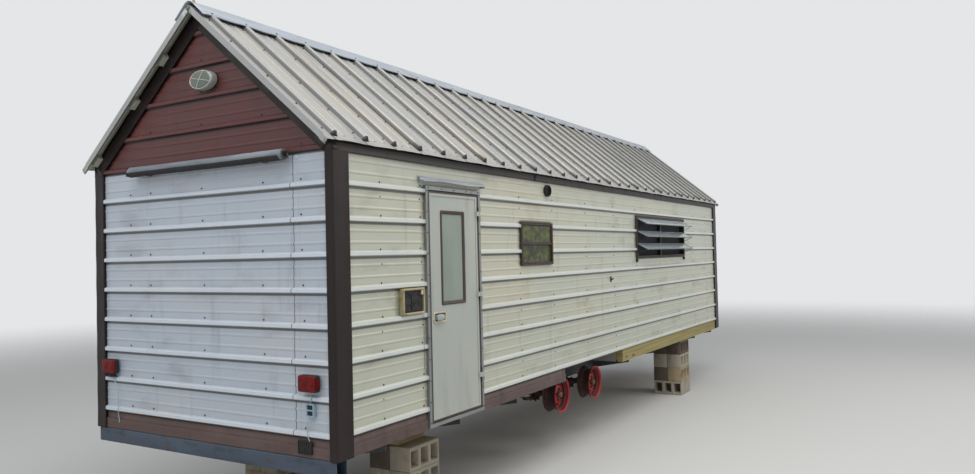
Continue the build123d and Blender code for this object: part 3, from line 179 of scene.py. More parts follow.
finishes = {
    "sideCream": wallPaint((180, 183, 168), (114, 114, 100), (196, 188, 164), (210, 216, 218)),
    # The same cream as the sides, painted cooler and bluer as the shade on the end walls
    "endCream": wallPaint((176, 184, 194), (118, 122, 126), (192, 192, 188), (210, 217, 224)),
    "backCream": wallPaint((184, 187, 176), (118, 117, 106), (196, 189, 168), (214, 219, 220)),
    "gableBrown": ((82, 40, 38), 0.42, [
        coat((0.9, 0.9, 2), 0.45, 0.75, 0.7, (104, 54, 46)),
        coat((5, 5, 1.4), 0.5, 0.8, 0.5, (56, 34, 36), 0.6),
        # painted shade under each rib
        ribBand(wallPitch, *shadeUnderRib, 0.9, (24, 15, 17)),
        coat(240, 0.68, 0.74, 0.4, (120, 96, 86)),
    ], [dent((0.4, 0.4, 1.8), 0.14, 0.02, detail=2.0), dent(500, 0.05, 0.0004)]),
    "trimBrown": ((34, 26, 26), 0.42, [
        coat((1.6, 1.6, 1.2), 0.45, 0.8, 0.6, (50, 36, 34)),
        coat((14, 14, 1.2), 0.5, 0.8, 0.5, (24, 20, 22), 0.6),
        coat(180, 0.66, 0.74, 0.5, (118, 104, 92)),
    ], [dent((3, 3, 1.0), 0.2, 0.006, detail=3.0), dent(420, 0.06, 0.0005)], dull),
    "skirtBrown": ((80, 61, 57), 0.5, [
        coat((1.3, 1.3, 4), 0.4, 0.75, 0.7, (102, 82, 76)),
        coat((10, 10, 3), 0.5, 0.78, 0.6, (50, 42, 40), 0.7),
        coat(200, 0.62, 0.72, 0.5, (140, 126, 108)),
    ], [dent((2.4, 2.4, 6), 0.3, 0.006), dent(420, 0.08, 0.0005)]),
    "roofZinc": ((158, 159, 156), 0.42, [
        coat((3.2, 0.7, 0.7), 0.42, 0.72, 0.7, (176, 168, 154)),
        coat((9, 1.0, 1.0), 0.52, 0.8, 0.65, (118, 116, 112), 0.55),
        coat(95, 0.1, 0.7, 0.14, (190, 194, 198), 0.34, kind="cells"),
        coat((230, 120, 120), 0.64, 0.7, 0.7, (84, 78, 70), times=coat((2.0, 1.2, 1.2), 0.35, 0.6)),
        # painted shade on the tail-side flank of each rib
        ribBand(roofPitch, *shadeBesideRib, 0.85, (74, 72, 70), 0.6),
    ], [dent((0.5, 0.8, 0.8), 0.12, 0.02), dent(300, 0.06, 0.0005)], {"Metallic": 0.35}),
    "capZinc": ((158, 166, 176), 0.42, [
        coat((1.4, 9, 9), 0.45, 0.75, 0.6, (188, 190, 196)),
        coat((3, 14, 14), 0.5, 0.8, 0.5, (112, 116, 122), 0.6),
        coat(260, 0.62, 0.7, 0.5, (96, 96, 96)),
    ], [dent((2, 12, 12), 0.2, 0.004)], {"Metallic": 0.4}),
    "wallBoard": ((150, 122, 86), 0.62, [
        coat((2, 2, 0.7), 0.2, 0.8, 0.6, (118, 90, 60), kind="grain", axis="X"),
        coat((6.6, 6.6, 1), 0.96, 0.98, 1.0, (70, 52, 36), kind="stripe", axis="X"),
    ], [dent((30, 30, 2), 0.15, 0.001, kind="grain", axis="X")]),
    "sawnTimber": ((164, 146, 112), 0.78, [
        coat((0.5, 14, 14), 0.1, 0.9, 0.6, (132, 110, 76), kind="grain", axis="Z"),
        coat((1.6, 9, 9), 0.5, 0.8, 0.6, (112, 90, 58)),
    ], [dent((4, 120, 120), 0.25, 0.002)]),
    "treatedTimber": ((156, 144, 92), 0.75, [
        coat((0.35, 9, 9), 0.1, 0.9, 0.55, (128, 118, 76), kind="grain", axis="Z", bend=7.0),
        coat((1.2, 6, 14), 0.48, 0.8, 0.65, (100, 92, 64)),
        coat((2.2, 9, 9), 0.17, 0.08, 1.0, (84, 62, 34), kind="cells"),
        coat((3, 3, 30), 0.6, 0.8, 0.5, (182, 174, 136)),
    ], [dent((3, 90, 90), 0.3, 0.002)]),
    "frameSteel": ((56, 62, 68), 0.6, [
        coat(3, 0.5, 0.7, 0.7, (92, 62, 44), 0.8),
        coat(26, 0.56, 0.7, 0.6, (34, 34, 36)),
    ], [dent(60, 0.25, 0.001)]),
    "bumperSteel": ((58, 71, 86), 0.55, [
        coat((1.2, 1.2, 5), 0.4, 0.75, 0.7, (74, 88, 104)),
        coat((6, 6, 18), 0.5, 0.75, 0.7, (38, 43, 50), 0.7),
        coat(20, 0.6, 0.72, 0.7, (96, 64, 44), 0.85),
    ], [dent(40, 0.25, 0.0012)]),
    "wheelRed": ((148, 16, 22), 0.5, [
        coat(11, 0.5, 0.72, 0.75, (104, 18, 22), 0.65),
        coat(34, 0.58, 0.68, 0.8, (92, 54, 38), 0.85),
        coat(5, 0.55, 0.8, 0.4, (176, 74, 66)),
    ], [dent(90, 0.3, 0.001)]),
    "barrelRust": ((50, 32, 28), 0.8, [
        coat(16, 0.45, 0.7, 0.8, (84, 48, 34)), coat(40, 0.52, 0.7, 0.7, (32, 24, 24)),
    ], [dent(120, 0.5, 0.0015)]),
    "hubCream": ((104, 80, 58), 0.55, [
        coat(30, 0.5, 0.7, 0.8, (84, 56, 40), 0.8), coat(9, 0.5, 0.8, 0.6, (124, 112, 92)),
    ], [dent(140, 0.3, 0.001)], {"Metallic": 0.2}),
    "springRust": ((54, 40, 34), 0.75, [
        coat(14, 0.45, 0.7, 0.8, (96, 58, 38)), coat(50, 0.55, 0.7, 0.6, (30, 26, 26)),
    ], [dent(110, 0.5, 0.0015)]),
    "blockConcrete": blockPaint((142, 136, 124), 0.92, (168, 156, 130), (96, 92, 86), (74, 72, 68),
                                specks=[coat(110, 0.0, 0.3, 0.3, (184, 178, 164), kind="cells")]),
    "frameAluminium": ((66, 56, 52), 0.48, [
        coat(20, 0.5, 0.75, 0.6, (48, 40, 37), 0.6), coat(3, 0.5, 0.8, 0.6, (92, 82, 76)),
    ], [dent(90, 0.15, 0.0008)], {"Metallic": 0.6}),
    "doorAluminium": ((138, 142, 142), 0.42, [
        coat((12, 12, 4), 0.5, 0.75, 0.6, (96, 90, 86), 0.55), coat(2, 0.5, 0.8, 0.5, (168, 168, 164)),
    ], [dent(90, 0.12, 0.0008)], {"Metallic": 0.6}),
    "doorPaint": ((166, 170, 164), 0.46, [
        coat((1.3, 1.3, 0.8), 0.45, 0.8, 0.5, (186, 186, 174)),
        coat((6, 6, 1.2), 0.52, 0.82, 0.45, (130, 130, 122), 0.6),
        coat(200, 0.68, 0.74, 0.4, (110, 104, 92)),
    ], [dent((1.2, 1.2, 0.8), 0.1, 0.01), dent(700, 0.06, 0.0003)]),
    "gasketBlack": ((26, 25, 25), 0.7, [coat(40, 0.5, 0.75, 0.7, (52, 48, 44))], [dent(260, 0.3, 0.0006)]),
    "plasticGrey": ((156, 164, 164), 0.5, [
        coat(10, 0.45, 0.75, 0.6, (122, 126, 122)), coat(60, 0.58, 0.72, 0.5, (92, 90, 84)),
    ], [dent(320, 0.1, 0.0004)]),
    "boxBrass": ((170, 160, 124), 0.45, [
        coat(18, 0.5, 0.75, 0.7, (120, 106, 76), 0.6), coat(5, 0.5, 0.8, 0.6, (192, 186, 160)),
    ], [dent(150, 0.15, 0.0006)], {"Metallic": 0.45}),
    "lampRed": ((104, 4, 6), 0.34, [coat(24, 0.5, 0.8, 0.6, (66, 5, 9), 0.3)],
                [dent((1, 160, 1), 0.3, 0.0012, kind="stripe", axis="Y")], dull),
    # Light patches stretched along the roll are a painted sheen, with dark patches among them
    "awningCloth": ((116, 122, 130), 0.7, [
        coat((6, 1.2, 6), 0.45, 0.75, 0.7, (150, 156, 162)), coat((14, 3, 14), 0.5, 0.75, 0.6, (62, 66, 74)),
    ], [dent((1, 900, 1), 0.25, 0.0006, kind="stripe", axis="Y"), dent((12, 3, 12), 0.3, 0.004)]),
    "screenMesh": ((30, 32, 36), 0.8, [
        coat((420, 1, 1), 0.7, 0.9, 0.5, (66, 68, 72), kind="stripe", axis="X"),
        coat((0.8, 0.8, 2), 0.45, 0.7, 0.6, (14, 15, 18)),
    ], [dent((1, 1, 420), 0.4, 0.0006, kind="stripe"), dent((420, 1, 1), 0.4, 0.0006, kind="stripe", axis="X")]),
    "screwSteel": ((66, 62, 60), 0.5, [coat(60, 0.45, 0.7, 0.8, (104, 78, 58), 0.75)],
                   [dent(400, 0.3, 0.0004)], {"Metallic": 0.5}),
    "soffitPale": ((186, 187, 172), 0.5, [
        coat((5, 1.5, 1.5), 0.45, 0.75, 0.6, (160, 162, 146)), coat((40, 14, 14), 0.55, 0.75, 0.4, (132, 132, 118),
        0.65),
    ], [dent((60, 12, 12), 0.1, 0.0006)]),
    # Near-black for the dark joint of the end wall's lap, and painted shade on the roof's rib ends
    "seamAndShadeDark": ((34, 31, 31), 0.7, [coat((30, 30, 12), 0.5, 0.75, 0.6, (84, 80, 76))],
    [dent((200, 200, 60), 0.2, 0.0004)]),
    "blockTan": blockPaint((158, 142, 112), 0.92, (178, 164, 134), (112, 98, 78), (86, 78, 66)),
    "blockDark": blockPaint((84, 74, 66), 0.94, (104, 92, 80), (56, 50, 46), (44, 40, 38), patch=8),
    "fittingBlue": ((150, 176, 190), 0.4, [coat(30, 0.5, 0.75, 0.6, (112, 128, 138))], [dent(200, 0.15, 0.0005)]),
    "wireTeal": ((164, 190, 188), 0.45, [coat(40, 0.5, 0.75, 0.6, (118, 138, 138))], [dent(400, 0.1, 0.0003)]),
    "boltSteel": ((72, 70, 70), 0.45, [coat(50, 0.45, 0.7, 0.8, (104, 92, 82), 0.7)],
                  [dent(300, 0.2, 0.0004)], {"Metallic": 0.5}),
    "rimBrown": ((56, 42, 36), 0.5, [
        coat((14, 14, 5), 0.5, 0.75, 0.6, (78, 62, 54)), coat(30, 0.55, 0.75, 0.5, (34, 27, 25), 0.6),
    ], [dent(90, 0.2, 0.0008)]),
    "latchCream": ((196, 186, 158), 0.4, [coat(34, 0.5, 0.75, 0.7, (140, 128, 102), 0.55)],
                   [dent(160, 0.2, 0.0005)], {"Metallic": 0.3}),
    "lampGlass": ((112, 126, 122), 0.14, [coat(12, 0.5, 0.75, 0.6, (86, 98, 94), 0.3)],
                  [dent((1, 160, 1), 0.2, 0.0008, kind="stripe", axis="Y")], {"Transmission Weight": 0.25,
                  "IOR": 1.45}),
    # A pale bluish-white colour painted on the panes as the sky's reflection
    "paneGlass": ((222, 233, 240), 0.05, [coat((5, 5, 2), 0.5, 0.85, gloss=0.22)],
                  [dent(3, 0.05, 0.004)], {"Transmission Weight": 0.4, "IOR": 1.5, "Specular IOR Level": 0.8}),
    "doorGlass": ((150, 162, 150), 0.36, [coat((3, 3, 1.2), 0.4, 0.75, 0.7, (128, 142, 132))],
                  [dent(260, 0.35, 0.001)], {"Transmission Weight": 0.2, "IOR": 1.5}),
    # Painted reflection: yellow-green leaves and dark patches on the small window's glass
    "smallGlass": ((50, 56, 24), 0.12, [
        coat((13, 13, 16), 0.36, 0.74, 0.8, (112, 120, 50), detail=3.0),
        coat(6, 0.44, 0.72, 0.8, (22, 27, 13), detail=3.0),
    ], [dent(4, 0.06, 0.004)], dull),
}
paint = {name: finish(name, *spec) for name, spec in finishes.items()}
print("finishes:", len(paint))

# Which finish each CAD piece takes
cadFinish = {
    "trimBrown": ["corner_trims", "rake_trims", "eave_trims"], "skirtBrown": ["skirt_flashing"],
    "wallBoard": ["back_side_spans", "back_side_wall", "door_side_spans", "door_side_wall", "hitch_end_wall",
    "tail_end_wall"],
    "sawnTimber": ["floor_deck", "pier_packing", "purlins", "rafters_back_side", "rafters_door_side", "ridge_beam"],
    "treatedTimber": ["rim_timbers"], "frameSteel": ["chassis_rails", "crossmembers", "drawbar", "coupler"],
    "bumperSteel": ["bumper"], "blockConcrete": ["block_piers"], "springRust": ["axles", "leaf_springs",
    "spring_hangers"],
    "frameAluminium": ["window_frames"], "doorAluminium": ["door_frame", "door_glass_rim"], "doorPaint": ["door_leaf"],
    "doorGlass": ["door_glass"], "paneGlass": ["window_panes"], "gasketBlack": ["round_vent", "cord_hatch",
    "lamp_wires"],
    "boxBrass": ["side_box", "door_latch"], "plasticGrey": ["gable_lamp", "plate_lamp"], "lampRed": ["tail_lamps"],
    "awningCloth": ["rolled_awning"], "screenMesh": ["window_screens"], "capZinc": ["ridge_cap", "drip_cap"],
    "roofZinc": ["wheel_wells", "roof_sheet_door_side", "roof_sheet_back_side"], "sideCream": ["siding_door_side"],
    "backCream": ["siding_back_side"], "endCream": ["siding_ends"], "gableBrown": ["gable_siding"],
    "wheelRed": [n for n in nodes if n.startswith("wheel_") and n != "wheel_wells"],
    "hubCream": [n for n in nodes if n.startswith("hub_")],
}
for key, names in cadFinish.items():
    for each in names:
        nodes[each].data.materials.clear()
        nodes[each].data.materials.append(paint[key])
print("CAD pieces finished:", sum(len(names) for names in cadFinish.values()), "of", len(nodes))


# Meshes: every new piece is an array of points with an array of quads, in its place at once.
# A quad that names a corner twice is a triangle.
def meshFrom(name, points, faces, material, slot, body="house", sharp=35, outward=False):
    points = np.asarray(points, float).reshape(-1, 3)
    used, faces = np.unique(np.asarray(faces, int), return_inverse=True)
    faces = faces.reshape(-1, 4)
    same = faces == np.roll(faces, -1, 1)
    corner = same.sum(1)
    triples = faces[corner == 1][~same[corner == 1]].reshape(-1, 3)
    data = bpy.data.meshes.new(name)
    data.from_pydata(points[used].tolist(), [], faces[corner == 0].tolist() + triples.tolist())
    if outward:
        shape = bmesh.new()
        shape.from_mesh(data)
        bmesh.ops.recalc_face_normals(shape, faces=shape.faces)
        shape.to_mesh(data)
        shape.free()
    data.update()
    made = bpy.data.objects.new(name, data)
    bpy.context.scene.collection.objects.link(made)
    data.materials.append(material)
    data.shade_smooth()
    data.set_sharp_from_angle(angle=np.radians(sharp))
    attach(made, body)
    return made


def solidify(made, thick, offset=-1.0):
    made.modifiers.new("thickness", "SOLIDIFY").thickness = thick
    made.modifiers["thickness"].offset = offset
    return made


# Quads of a grid of rows by columns, joined round where a direction is closed.
def gridFaces(rows, columns, keep=None, flip=False, closeRow=False, closeColumn=False):
    index = np.arange(rows * columns).reshape(rows, columns)
    if closeRow:
        index = np.concatenate([index, index[:1]], 0)
    if closeColumn:
        index = np.concatenate([index, index[:, :1]], 1)
    quads = np.stack([index[:-1, :-1], index[:-1, 1:], index[1:, 1:], index[1:, :-1]], -1)
    quads = quads[keep] if keep is not None else quads.reshape(-1, 4)
    return quads[:, ::-1] if flip else quads


# Close rings of a grid with a fan of triangles about the middle of each.
def capped(points, faces, rings, count):
    points = points.reshape(-1, 3)
    for start, flip in rings:
        ring = start + np.arange(count)
        fan = np.stack([ring, np.roll(ring, -1), np.full(count, len(points)), np.full(count, len(points))], -1)
        points = np.concatenate([points, points[ring].mean(0)[None]])
        faces = np.concatenate([faces, fan if flip else fan[:, [1, 0, 2, 3]]])
    return points, faces


# The same shape, its faces turned over where they look away from a direction on the whole.
def facing(shape, toward):
    points, faces = shape
    at = points.reshape(-1, 3)[faces]
    look = np.cross(at[:, 2] - at[:, 0], at[:, 3] - at[:, 1]).sum(0) @ np.asarray(toward, float)
    return (points, faces[:, ::-1]) if look < 0 else (points, faces)


# The same small shape at many places: place + turn x point, each turn a 3x3 array.
def copies(shape, places, turns=None):
    points, faces = shape
    places = np.asarray(places, float).reshape(-1, 3)
    count = len(places)
    placed = np.repeat(points[None], count, 0)
    if turns is not None:
        placed = np.einsum("nij,pj->npi", np.broadcast_to(turns, (count, 3, 3)), points)
    offset = (np.arange(count) * len(points))[:, None, None]
    return (placed + places[:, None]).reshape(-1, 3), (np.asarray(faces)[None] + offset).reshape(-1, 4)


# Several (points, faces) pairs as one.
def joined(*parts):
    points, faces, start = [], [], 0
    for p, f in parts:
        p = np.asarray(p, float).reshape(-1, 3)
        points.append(p)
        faces.append(np.asarray(f, int).reshape(-1, 4) + start)
        start += len(p)
    return np.concatenate(points), np.concatenate(faces)


# A profile of (radius, height) pairs turned round the third axis; a radius of 0 ends in a point.
def turned(profile, segments, phase=0.0, closed=False):
    profile = np.asarray(profile, float)
    angle = np.arange(segments) * 2 * np.pi / segments + phase
    r, h = profile[:, :1], profile[:, 1:]
    points = np.stack([r * np.cos(angle), r * np.sin(angle), h + 0 * angle], -1).reshape(-1, 3)
    index = np.arange(len(points)).reshape(len(profile), segments)
    index[profile[:, 0] < 1e-6] = index[profile[:, 0] < 1e-6, :1]
    return points, index.ravel()[gridFaces(len(profile), segments, closeRow=closed, closeColumn=True)]


# A closed profile of (side, lift) pairs carried along a path of points, kept upright against the up vector.
def alongPath(path, profile, closed=False, up=(0.0, 0.0, 1.0)):
    path, profile = np.asarray(path, float), np.asarray(profile, float)
    step = np.roll(path, -1, 0) - np.roll(path, 1, 0) if closed else np.gradient(path, axis=0)
    ahead = step / np.linalg.norm(step, axis=1, keepdims=True)
    side = np.cross(ahead, np.asarray(up, float))
    side /= np.linalg.norm(side, axis=1, keepdims=True)
    lift = np.cross(side, ahead)
    points = path[:, None] + side[:, None] * profile[None, :, :1] + lift[:, None] * profile[None, :, 1:]
    faces = gridFaces(len(path), len(profile), closeRow=closed, closeColumn=True)
    if closed:
        return points.reshape(-1, 3), faces
    return capped(points, faces, [(0, False), ((len(path) - 1) * len(profile), True)], len(profile))


def wire(path, radius, sides=8, closed=False, up=(0.0, 0.0, 1.0)):
    angle = np.arange(sides) * 2 * np.pi / sides
    return alongPath(path, radius * np.stack([np.cos(angle), np.sin(angle)], -1), closed, up)


# A path of count points through the given ones: a Catmull-Rom curve, its ends doubled.
def smoothPath(points, count):
    p = np.asarray(points, float)
    p = np.concatenate([2 * p[:1] - p[1:2], p, 2 * p[-1:] - p[-2:-1]])
    at = np.linspace(0, len(points) - 1, count)
    k = np.minimum(at.astype(int), len(points) - 2)
    t = (at - k)[:, None]
    a, b, c, d = p[k], p[k + 1], p[k + 2], p[k + 3]
    return 0.5 * (2 * b + (c - a) * t + (2 * a - 5 * b + 4 * c - d) * t ** 2 + (3 * b - a - 3 * c + d) * t ** 3)


# Points round a rectangle, inset from its outer edge; the corner's arc shrinks by the inset.
def roundedRing(low, high, inset, corner, steps):
    low, high = np.asarray(low, float), np.asarray(high, float)
    reach = max(corner, inset)
    quarter = np.linspace(0, np.pi / 2, steps)
    points = []
    for turn, x, z in ((2, low[0] + reach, low[1] + reach), (3, high[0] - reach, low[1] + reach),
                       (0, high[0] - reach, high[1] - reach), (1, low[0] + reach, high[1] - reach)):
        angle = quarter + turn * np.pi / 2
        radius = max(corner - inset, 0.0)
        points.append(np.stack([x + radius * np.cos(angle), z + radius * np.sin(angle)], -1))
    return np.concatenate(points)


# A frame round a rectangle: a closed profile of (inset, out) pairs. Local points are (along, up, out).
def ringFrame(low, high, profile, corner=0.0, steps=2):
    rings = [np.c_[roundedRing(low, high, inset, corner, steps), np.full(4 * steps, out)] for inset, out in profile]
    return np.concatenate(rings), gridFaces(len(profile), 4 * steps, closeRow=True, closeColumn=True)


# A solid rectangle whose edge follows (inset, out) pairs from back to front, closed at both ends.
def pad(low, high, profile, corner=0.003, steps=3):
    rings = [np.c_[roundedRing(low, high, inset, corner, steps), np.full(4 * steps, out)] for inset, out in profile]
    faces = gridFaces(len(profile), 4 * steps, closeColumn=True)
    return capped(np.concatenate(rings), faces, [(0, False), ((len(profile) - 1) * 4 * steps, True)], 4 * steps)


# A box between two corners, its edges eased by a bevel.
def brick(low, high, ease=0.003, corner=0.003, steps=2):
    (x0, y0, z0), (x1, y1, z1) = low, high
    return pad((x0, y0), (x1, y1), [(ease, z0), (0, z0 + ease), (0, z1 - ease), (ease, z1)], corner, steps)


# A local shape set at a world place, its three axes along the given world directions.
def mapped(shape, place, axes=np.eye(3)):
    points, faces = shape
    return np.asarray(place, float) + np.asarray(points) @ np.asarray(axes, float), faces


# A convex outline of (a, b) points as a plate between two depths.
def plateOf(outline, low, high):
    outline = np.asarray(outline, float)
    count = len(outline)
    points = np.concatenate([np.c_[outline, np.full(count, c)] for c in (low, high)])
    return capped(points, gridFaces(2, count, closeColumn=True), [(0, False), (count, True)], count)


# Places on the body as world points: shapes are (along, up, out) on a wall and (along, up the slope, out) on the roof
def onSide(x, out, z, side=1):
    x, out, z = np.broadcast_arrays(x, out, z)
    return np.stack([house["tail"] + x, side * (house["doorY"] - out), house["foot"] + z], -1)


def onEnd(y, out, z, end=1):
    y, out, z = np.broadcast_arrays(y, out, z)
    return np.stack([house["tail"] - out if end > 0 else house["hitch"] + out, house["doorY"] + y, house["foot"] + z],
        -1)


def onRoof(x, s, n, side=1):
    x, s, n = np.broadcast_arrays(x, s, n)
    return np.stack([house["tail"] + x, side * (house["doorY"] + s * slopeCos - n * slopeSin),
                     house["foot"] + house["seat"] + s * slopeSin + n * slopeCos], -1)


def sideShape(shape, side=1):
    points, faces = shape
    return onSide(points[:, 0], points[:, 2], points[:, 1], side), faces


def endShape(shape, end=1):
    points, faces = shape
    return onEnd(points[:, 0], points[:, 2], points[:, 1], end), faces


def roofShape(shape, side=1):
    points, faces = shape
    return onRoof(points[:, 0], points[:, 1], points[:, 2], side), faces


outDoorSide = np.array([[1, 0, 0], [0, 0, 1], [0, -1, 0]], float).T
outBackSide = np.array([[1, 0, 0], [0, 0, 1], [0, 1, 0]], float).T
outTail = np.array([[0, 1, 0], [0, 0, 1], [-1, 0, 0]], float).T
outHitch = np.array([[0, 1, 0], [0, 0, 1], [1, 0, 0]], float).T
outRoofDoor = np.array([[1, 0, 0], [0, slopeCos, slopeSin], [0, -slopeSin, slopeCos]], float).T
outRoofBack = np.array([[1, 0, 0], [0, -slopeCos, slopeSin], [0, slopeSin, slopeCos]], float).T


# Hexagonal heads on washers at world places, pointing out along the wall's turn.
def screws(places, turn, radius=0.0055):
    head = turned([(radius * 1.25, -0.0004), (radius * 1.25, 0.0012), (radius * 0.8, 0.0018), (radius * 0.72, 0.0058),
        (0, 0.0064)], 6)
    return copies(head, places, turn)


# Points of a folded strip: (out, up) corners carried along a direction, each put in place by a function.
def strip(polyline, along, place):
    polyline = np.asarray(polyline, float)
    a = np.repeat(np.asarray(along, float)[:, None], len(polyline), 1)
    u, v = np.broadcast_to(polyline[:, 0], a.shape), np.broadcast_to(polyline[:, 1], a.shape)
    return place(a, u, v).reshape(-1, 3), gridFaces(*a.shape)


# A sheet's three ribs in one pitch: how far along, base, crest and height
def ribs(rib):
    third = rib["pitch"] / 3
    return ((0.0, rib["base"], rib["crest"], rib["high"]), (third, rib["minorBase"], rib["minorCrest"],
        rib["minorHigh"]),
            (2 * third, rib["minorBase"], rib["minorCrest"], rib["minorHigh"]))


# Rise over the pan: a trapezoid at each rib, rise x (t - 0.09 sin 2 pi t) on its flanks.
def ribRise(at, rib):
    rise = np.zeros_like(np.asarray(at, float))
    for shift, base, crest, high in ribs(rib):
        away = np.abs((at - rib["first"] - shift + rib["pitch"] / 2) % rib["pitch"] - rib["pitch"] / 2)
        t = np.clip((base / 2 - away) / (base / 2 - crest / 2), 0, 1)
        rise = np.maximum(rise, high * (t - 0.09 * np.sin(2 * np.pi * t)))
    return rise


# Where a ribbed sheet needs a row of points between low and high.
def ribPlaces(low, high, rib):
    offsets = []
    for shift, base, crest, _ in ribs(rib):
        flank = (base - crest) / 2
        away = np.array([0, crest / 2 - 0.002, crest / 2, crest / 2 + 0.3 * flank, crest / 2 + 0.7 * flank, base / 2,
            base / 2 + 0.004])
        offsets.append(shift + np.concatenate([-away, away]))
    offsets = np.concatenate(offsets)
    first = int(np.floor((low - rib["first"]) / rib["pitch"])) - 1
    last = int(np.ceil((high - rib["first"]) / rib["pitch"])) + 1
    places = (rib["first"] + np.arange(first, last + 1)[:, None] * rib["pitch"] + offsets).ravel()
    places = np.unique(np.round(np.concatenate([places[(places > low) & (places < high)], [low, high]]), 5))
    return places[np.concatenate([[True], np.diff(places) > 0.0008])]


# Waviness: a sum of five sines across u, each bent by a slower sine across v.
def wobble(u, v, amount, seed=0.0):
    total = 0
    for k, (a, b, c) in enumerate(((1.3, 4.1, 0.3), (2.9, 7.7, 1.9), (5.1, 12.3, 4.4), (8.7, 5.2, 2.2),
        (14.0, 17.0, 5.1))):
        total = total + np.sin(a * u + c + seed + 1.4 * np.sin(b * v + c * 2 + seed)) / (1 + 0.8 * k)
    return amount * total / 2.2


cuts = {"door": (0.975, 1.737, -0.2, 1.66), "small": (2.443, 3.083, 1.036, 1.432), "awning": (5.424, 7.398, 1.056,
    1.584),
        "box": (0.656, 0.915, 0.729, 0.918)}


def sideSheet(name, material, side, holes, node):
    low, high = np.array([0.019, 0.0]), np.array([house["long"] - 0.019, house["seat"] - 0.03])
    edges = [cuts[h] for h in holes]
    xs = np.unique(np.concatenate([np.linspace(low[0], high[0], 112)] + [[c[0], c[1]] for c in edges]))
    zs = np.unique(np.concatenate([ribPlaces(low[1], high[1], wallRib)] + [[max(c[2], 0), c[3]] for c in edges]))
    x, z = np.meshgrid(xs, zs)
    rise = ribRise(z, wallRib)
    pan = 1 - np.clip(rise / 0.012, 0, 1)
    rise = rise + wobble(x, z, 0.0011, side) * pan + wobble(x * 0.6, z * 3, 0.0005, 2 + side) * (1 - pan)
    dip = 0.0022 * np.sin(1.7 * x + 2 * np.sin(0.9 * x + 5 * np.floor(z / wallRib["pitch"])))
    points = onSide(x, rise + 0.0003, z + dip * np.clip(rise / 0.01, 0, 1), side)
    cx, cz = (x[:-1, :-1] + x[1:, 1:]) / 2, (z[:-1, :-1] + z[1:, 1:]) / 2
    keep = np.ones(cx.shape, bool)
    for x0, x1, z0, z1 in edges:
        keep &= ~((cx > x0) & (cx < x1) & (cz > z0) & (cz < z1))
    made = meshFrom(name, points, gridFaces(len(zs), len(xs), keep, flip=side < 0), material, "cream_steel")
    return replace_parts(solidify(made, 0.0009), node)


sideSheet("doorSideSheet", paint["sideCream"], 1, ["door", "small", "awning", "box"], "siding_door_side")
sideSheet("backSideSheet", paint["backCream"], -1, ["small", "awning"], "siding_back_side")


# The gable's ribbed sheet: rows up the wall, each from edge to edge, the gable's shortened to the rake.
def endSheet(end, low, high, raked):
    zs = ribPlaces(low, high, wallRib)
    t = np.linspace(0, 1, 34)
    edge = np.clip((zs - (house["seat"] - 0.038 / slopeCos)) / house["pitch"], 0.019,
        house["wide"] / 2 - 0.004) if raked else np.full(len(zs), 0.019)
    y = edge[:, None] + t[None] * (house["wide"] - 2 * edge[:, None])
    z = np.repeat(zs[:, None], len(t), 1)
    rise = ribRise(z, wallRib)
    pan = 1 - np.clip(rise / 0.012, 0, 1)
    rise = rise + wobble(y * 1.4, z, 0.0012, end + raked) * pan
    return onEnd(y, rise + 0.0003, z, end), gridFaces(len(zs), len(t), flip=end > 0)


gableTop = house["seat"] + (house["wide"] / 2 - 0.01) * house["pitch"] - 0.038 / slopeCos
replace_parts(solidify(meshFrom("endSheets", *joined(endSheet(1, 0, house["wallHigh"], False), endSheet(-1, 0,
    house["wallHigh"], False)),
                              paint["endCream"], "cream_steel"), 0.0009), "siding_ends")
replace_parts(solidify(meshFrom("gableSheets", *joined(endSheet(1, house["wallHigh"], gableTop, True),
    endSheet(-1, house["wallHigh"], gableTop, True)),
                              paint["gableBrown"], "brown_steel"), 0.0009), "gable_siding")


# A lapped sheet edge up the end wall with the dark line of the joint beside it, kinked at every rib.
def endSeam(end):
    z = ribPlaces(0.004, house["wallHigh"] - 0.004, wallRib)
    rise = ribRise(z, wallRib)
    sway = 0.341 + 0.0042 * np.sin(3.1 * z) + 0.0022 * np.sin(13 * z + 1) + 0.0105 * np.clip(rise / 0.019, 0, 1)
    lapX, lapOut = np.array([0.003, 0.0038, 0.020, 0.045, 0.046]), np.array([0.0006, 0.0024, 0.0022, 0.0018, 0.0005])
    zz, k = np.meshgrid(z, np.arange(5), indexing="ij")
    lap = facing((onEnd(sway[:, None] - lapX[k], rise[:, None] + lapOut[k], zz, end).reshape(-1, 3), gridFaces(len(z),
        5)), (-end, 0, 0))
    lineX, lineOut = np.array([-0.0028, -0.0022, 0.0072, 0.0078]), np.array([0.0004, 0.0016, 0.0016, 0.0004])
    zz, k = np.meshgrid(z, np.arange(4), indexing="ij")
    line = facing((onEnd(sway[:, None] - lineX[k], rise[:, None] + lineOut[k], zz, end).reshape(-1, 3),
        gridFaces(len(z), 4)), (-end, 0, 0))
    return lap, line


solidify(meshFrom("endSheetLap", *endSeam(1)[0], paint["endCream"], "cream_steel"), 0.0007)
solidify(meshFrom("endSheetSeam", *endSeam(1)[1], paint["seamAndShadeDark"], "dark_plastic"), 0.0005)
print("siding made")

roof = {"rake": 0.100, "eave": 0.060, "stop": 0.062, "ridgeGap": 0.036, "lip": 0.042, "sheetCover": 0.9144}


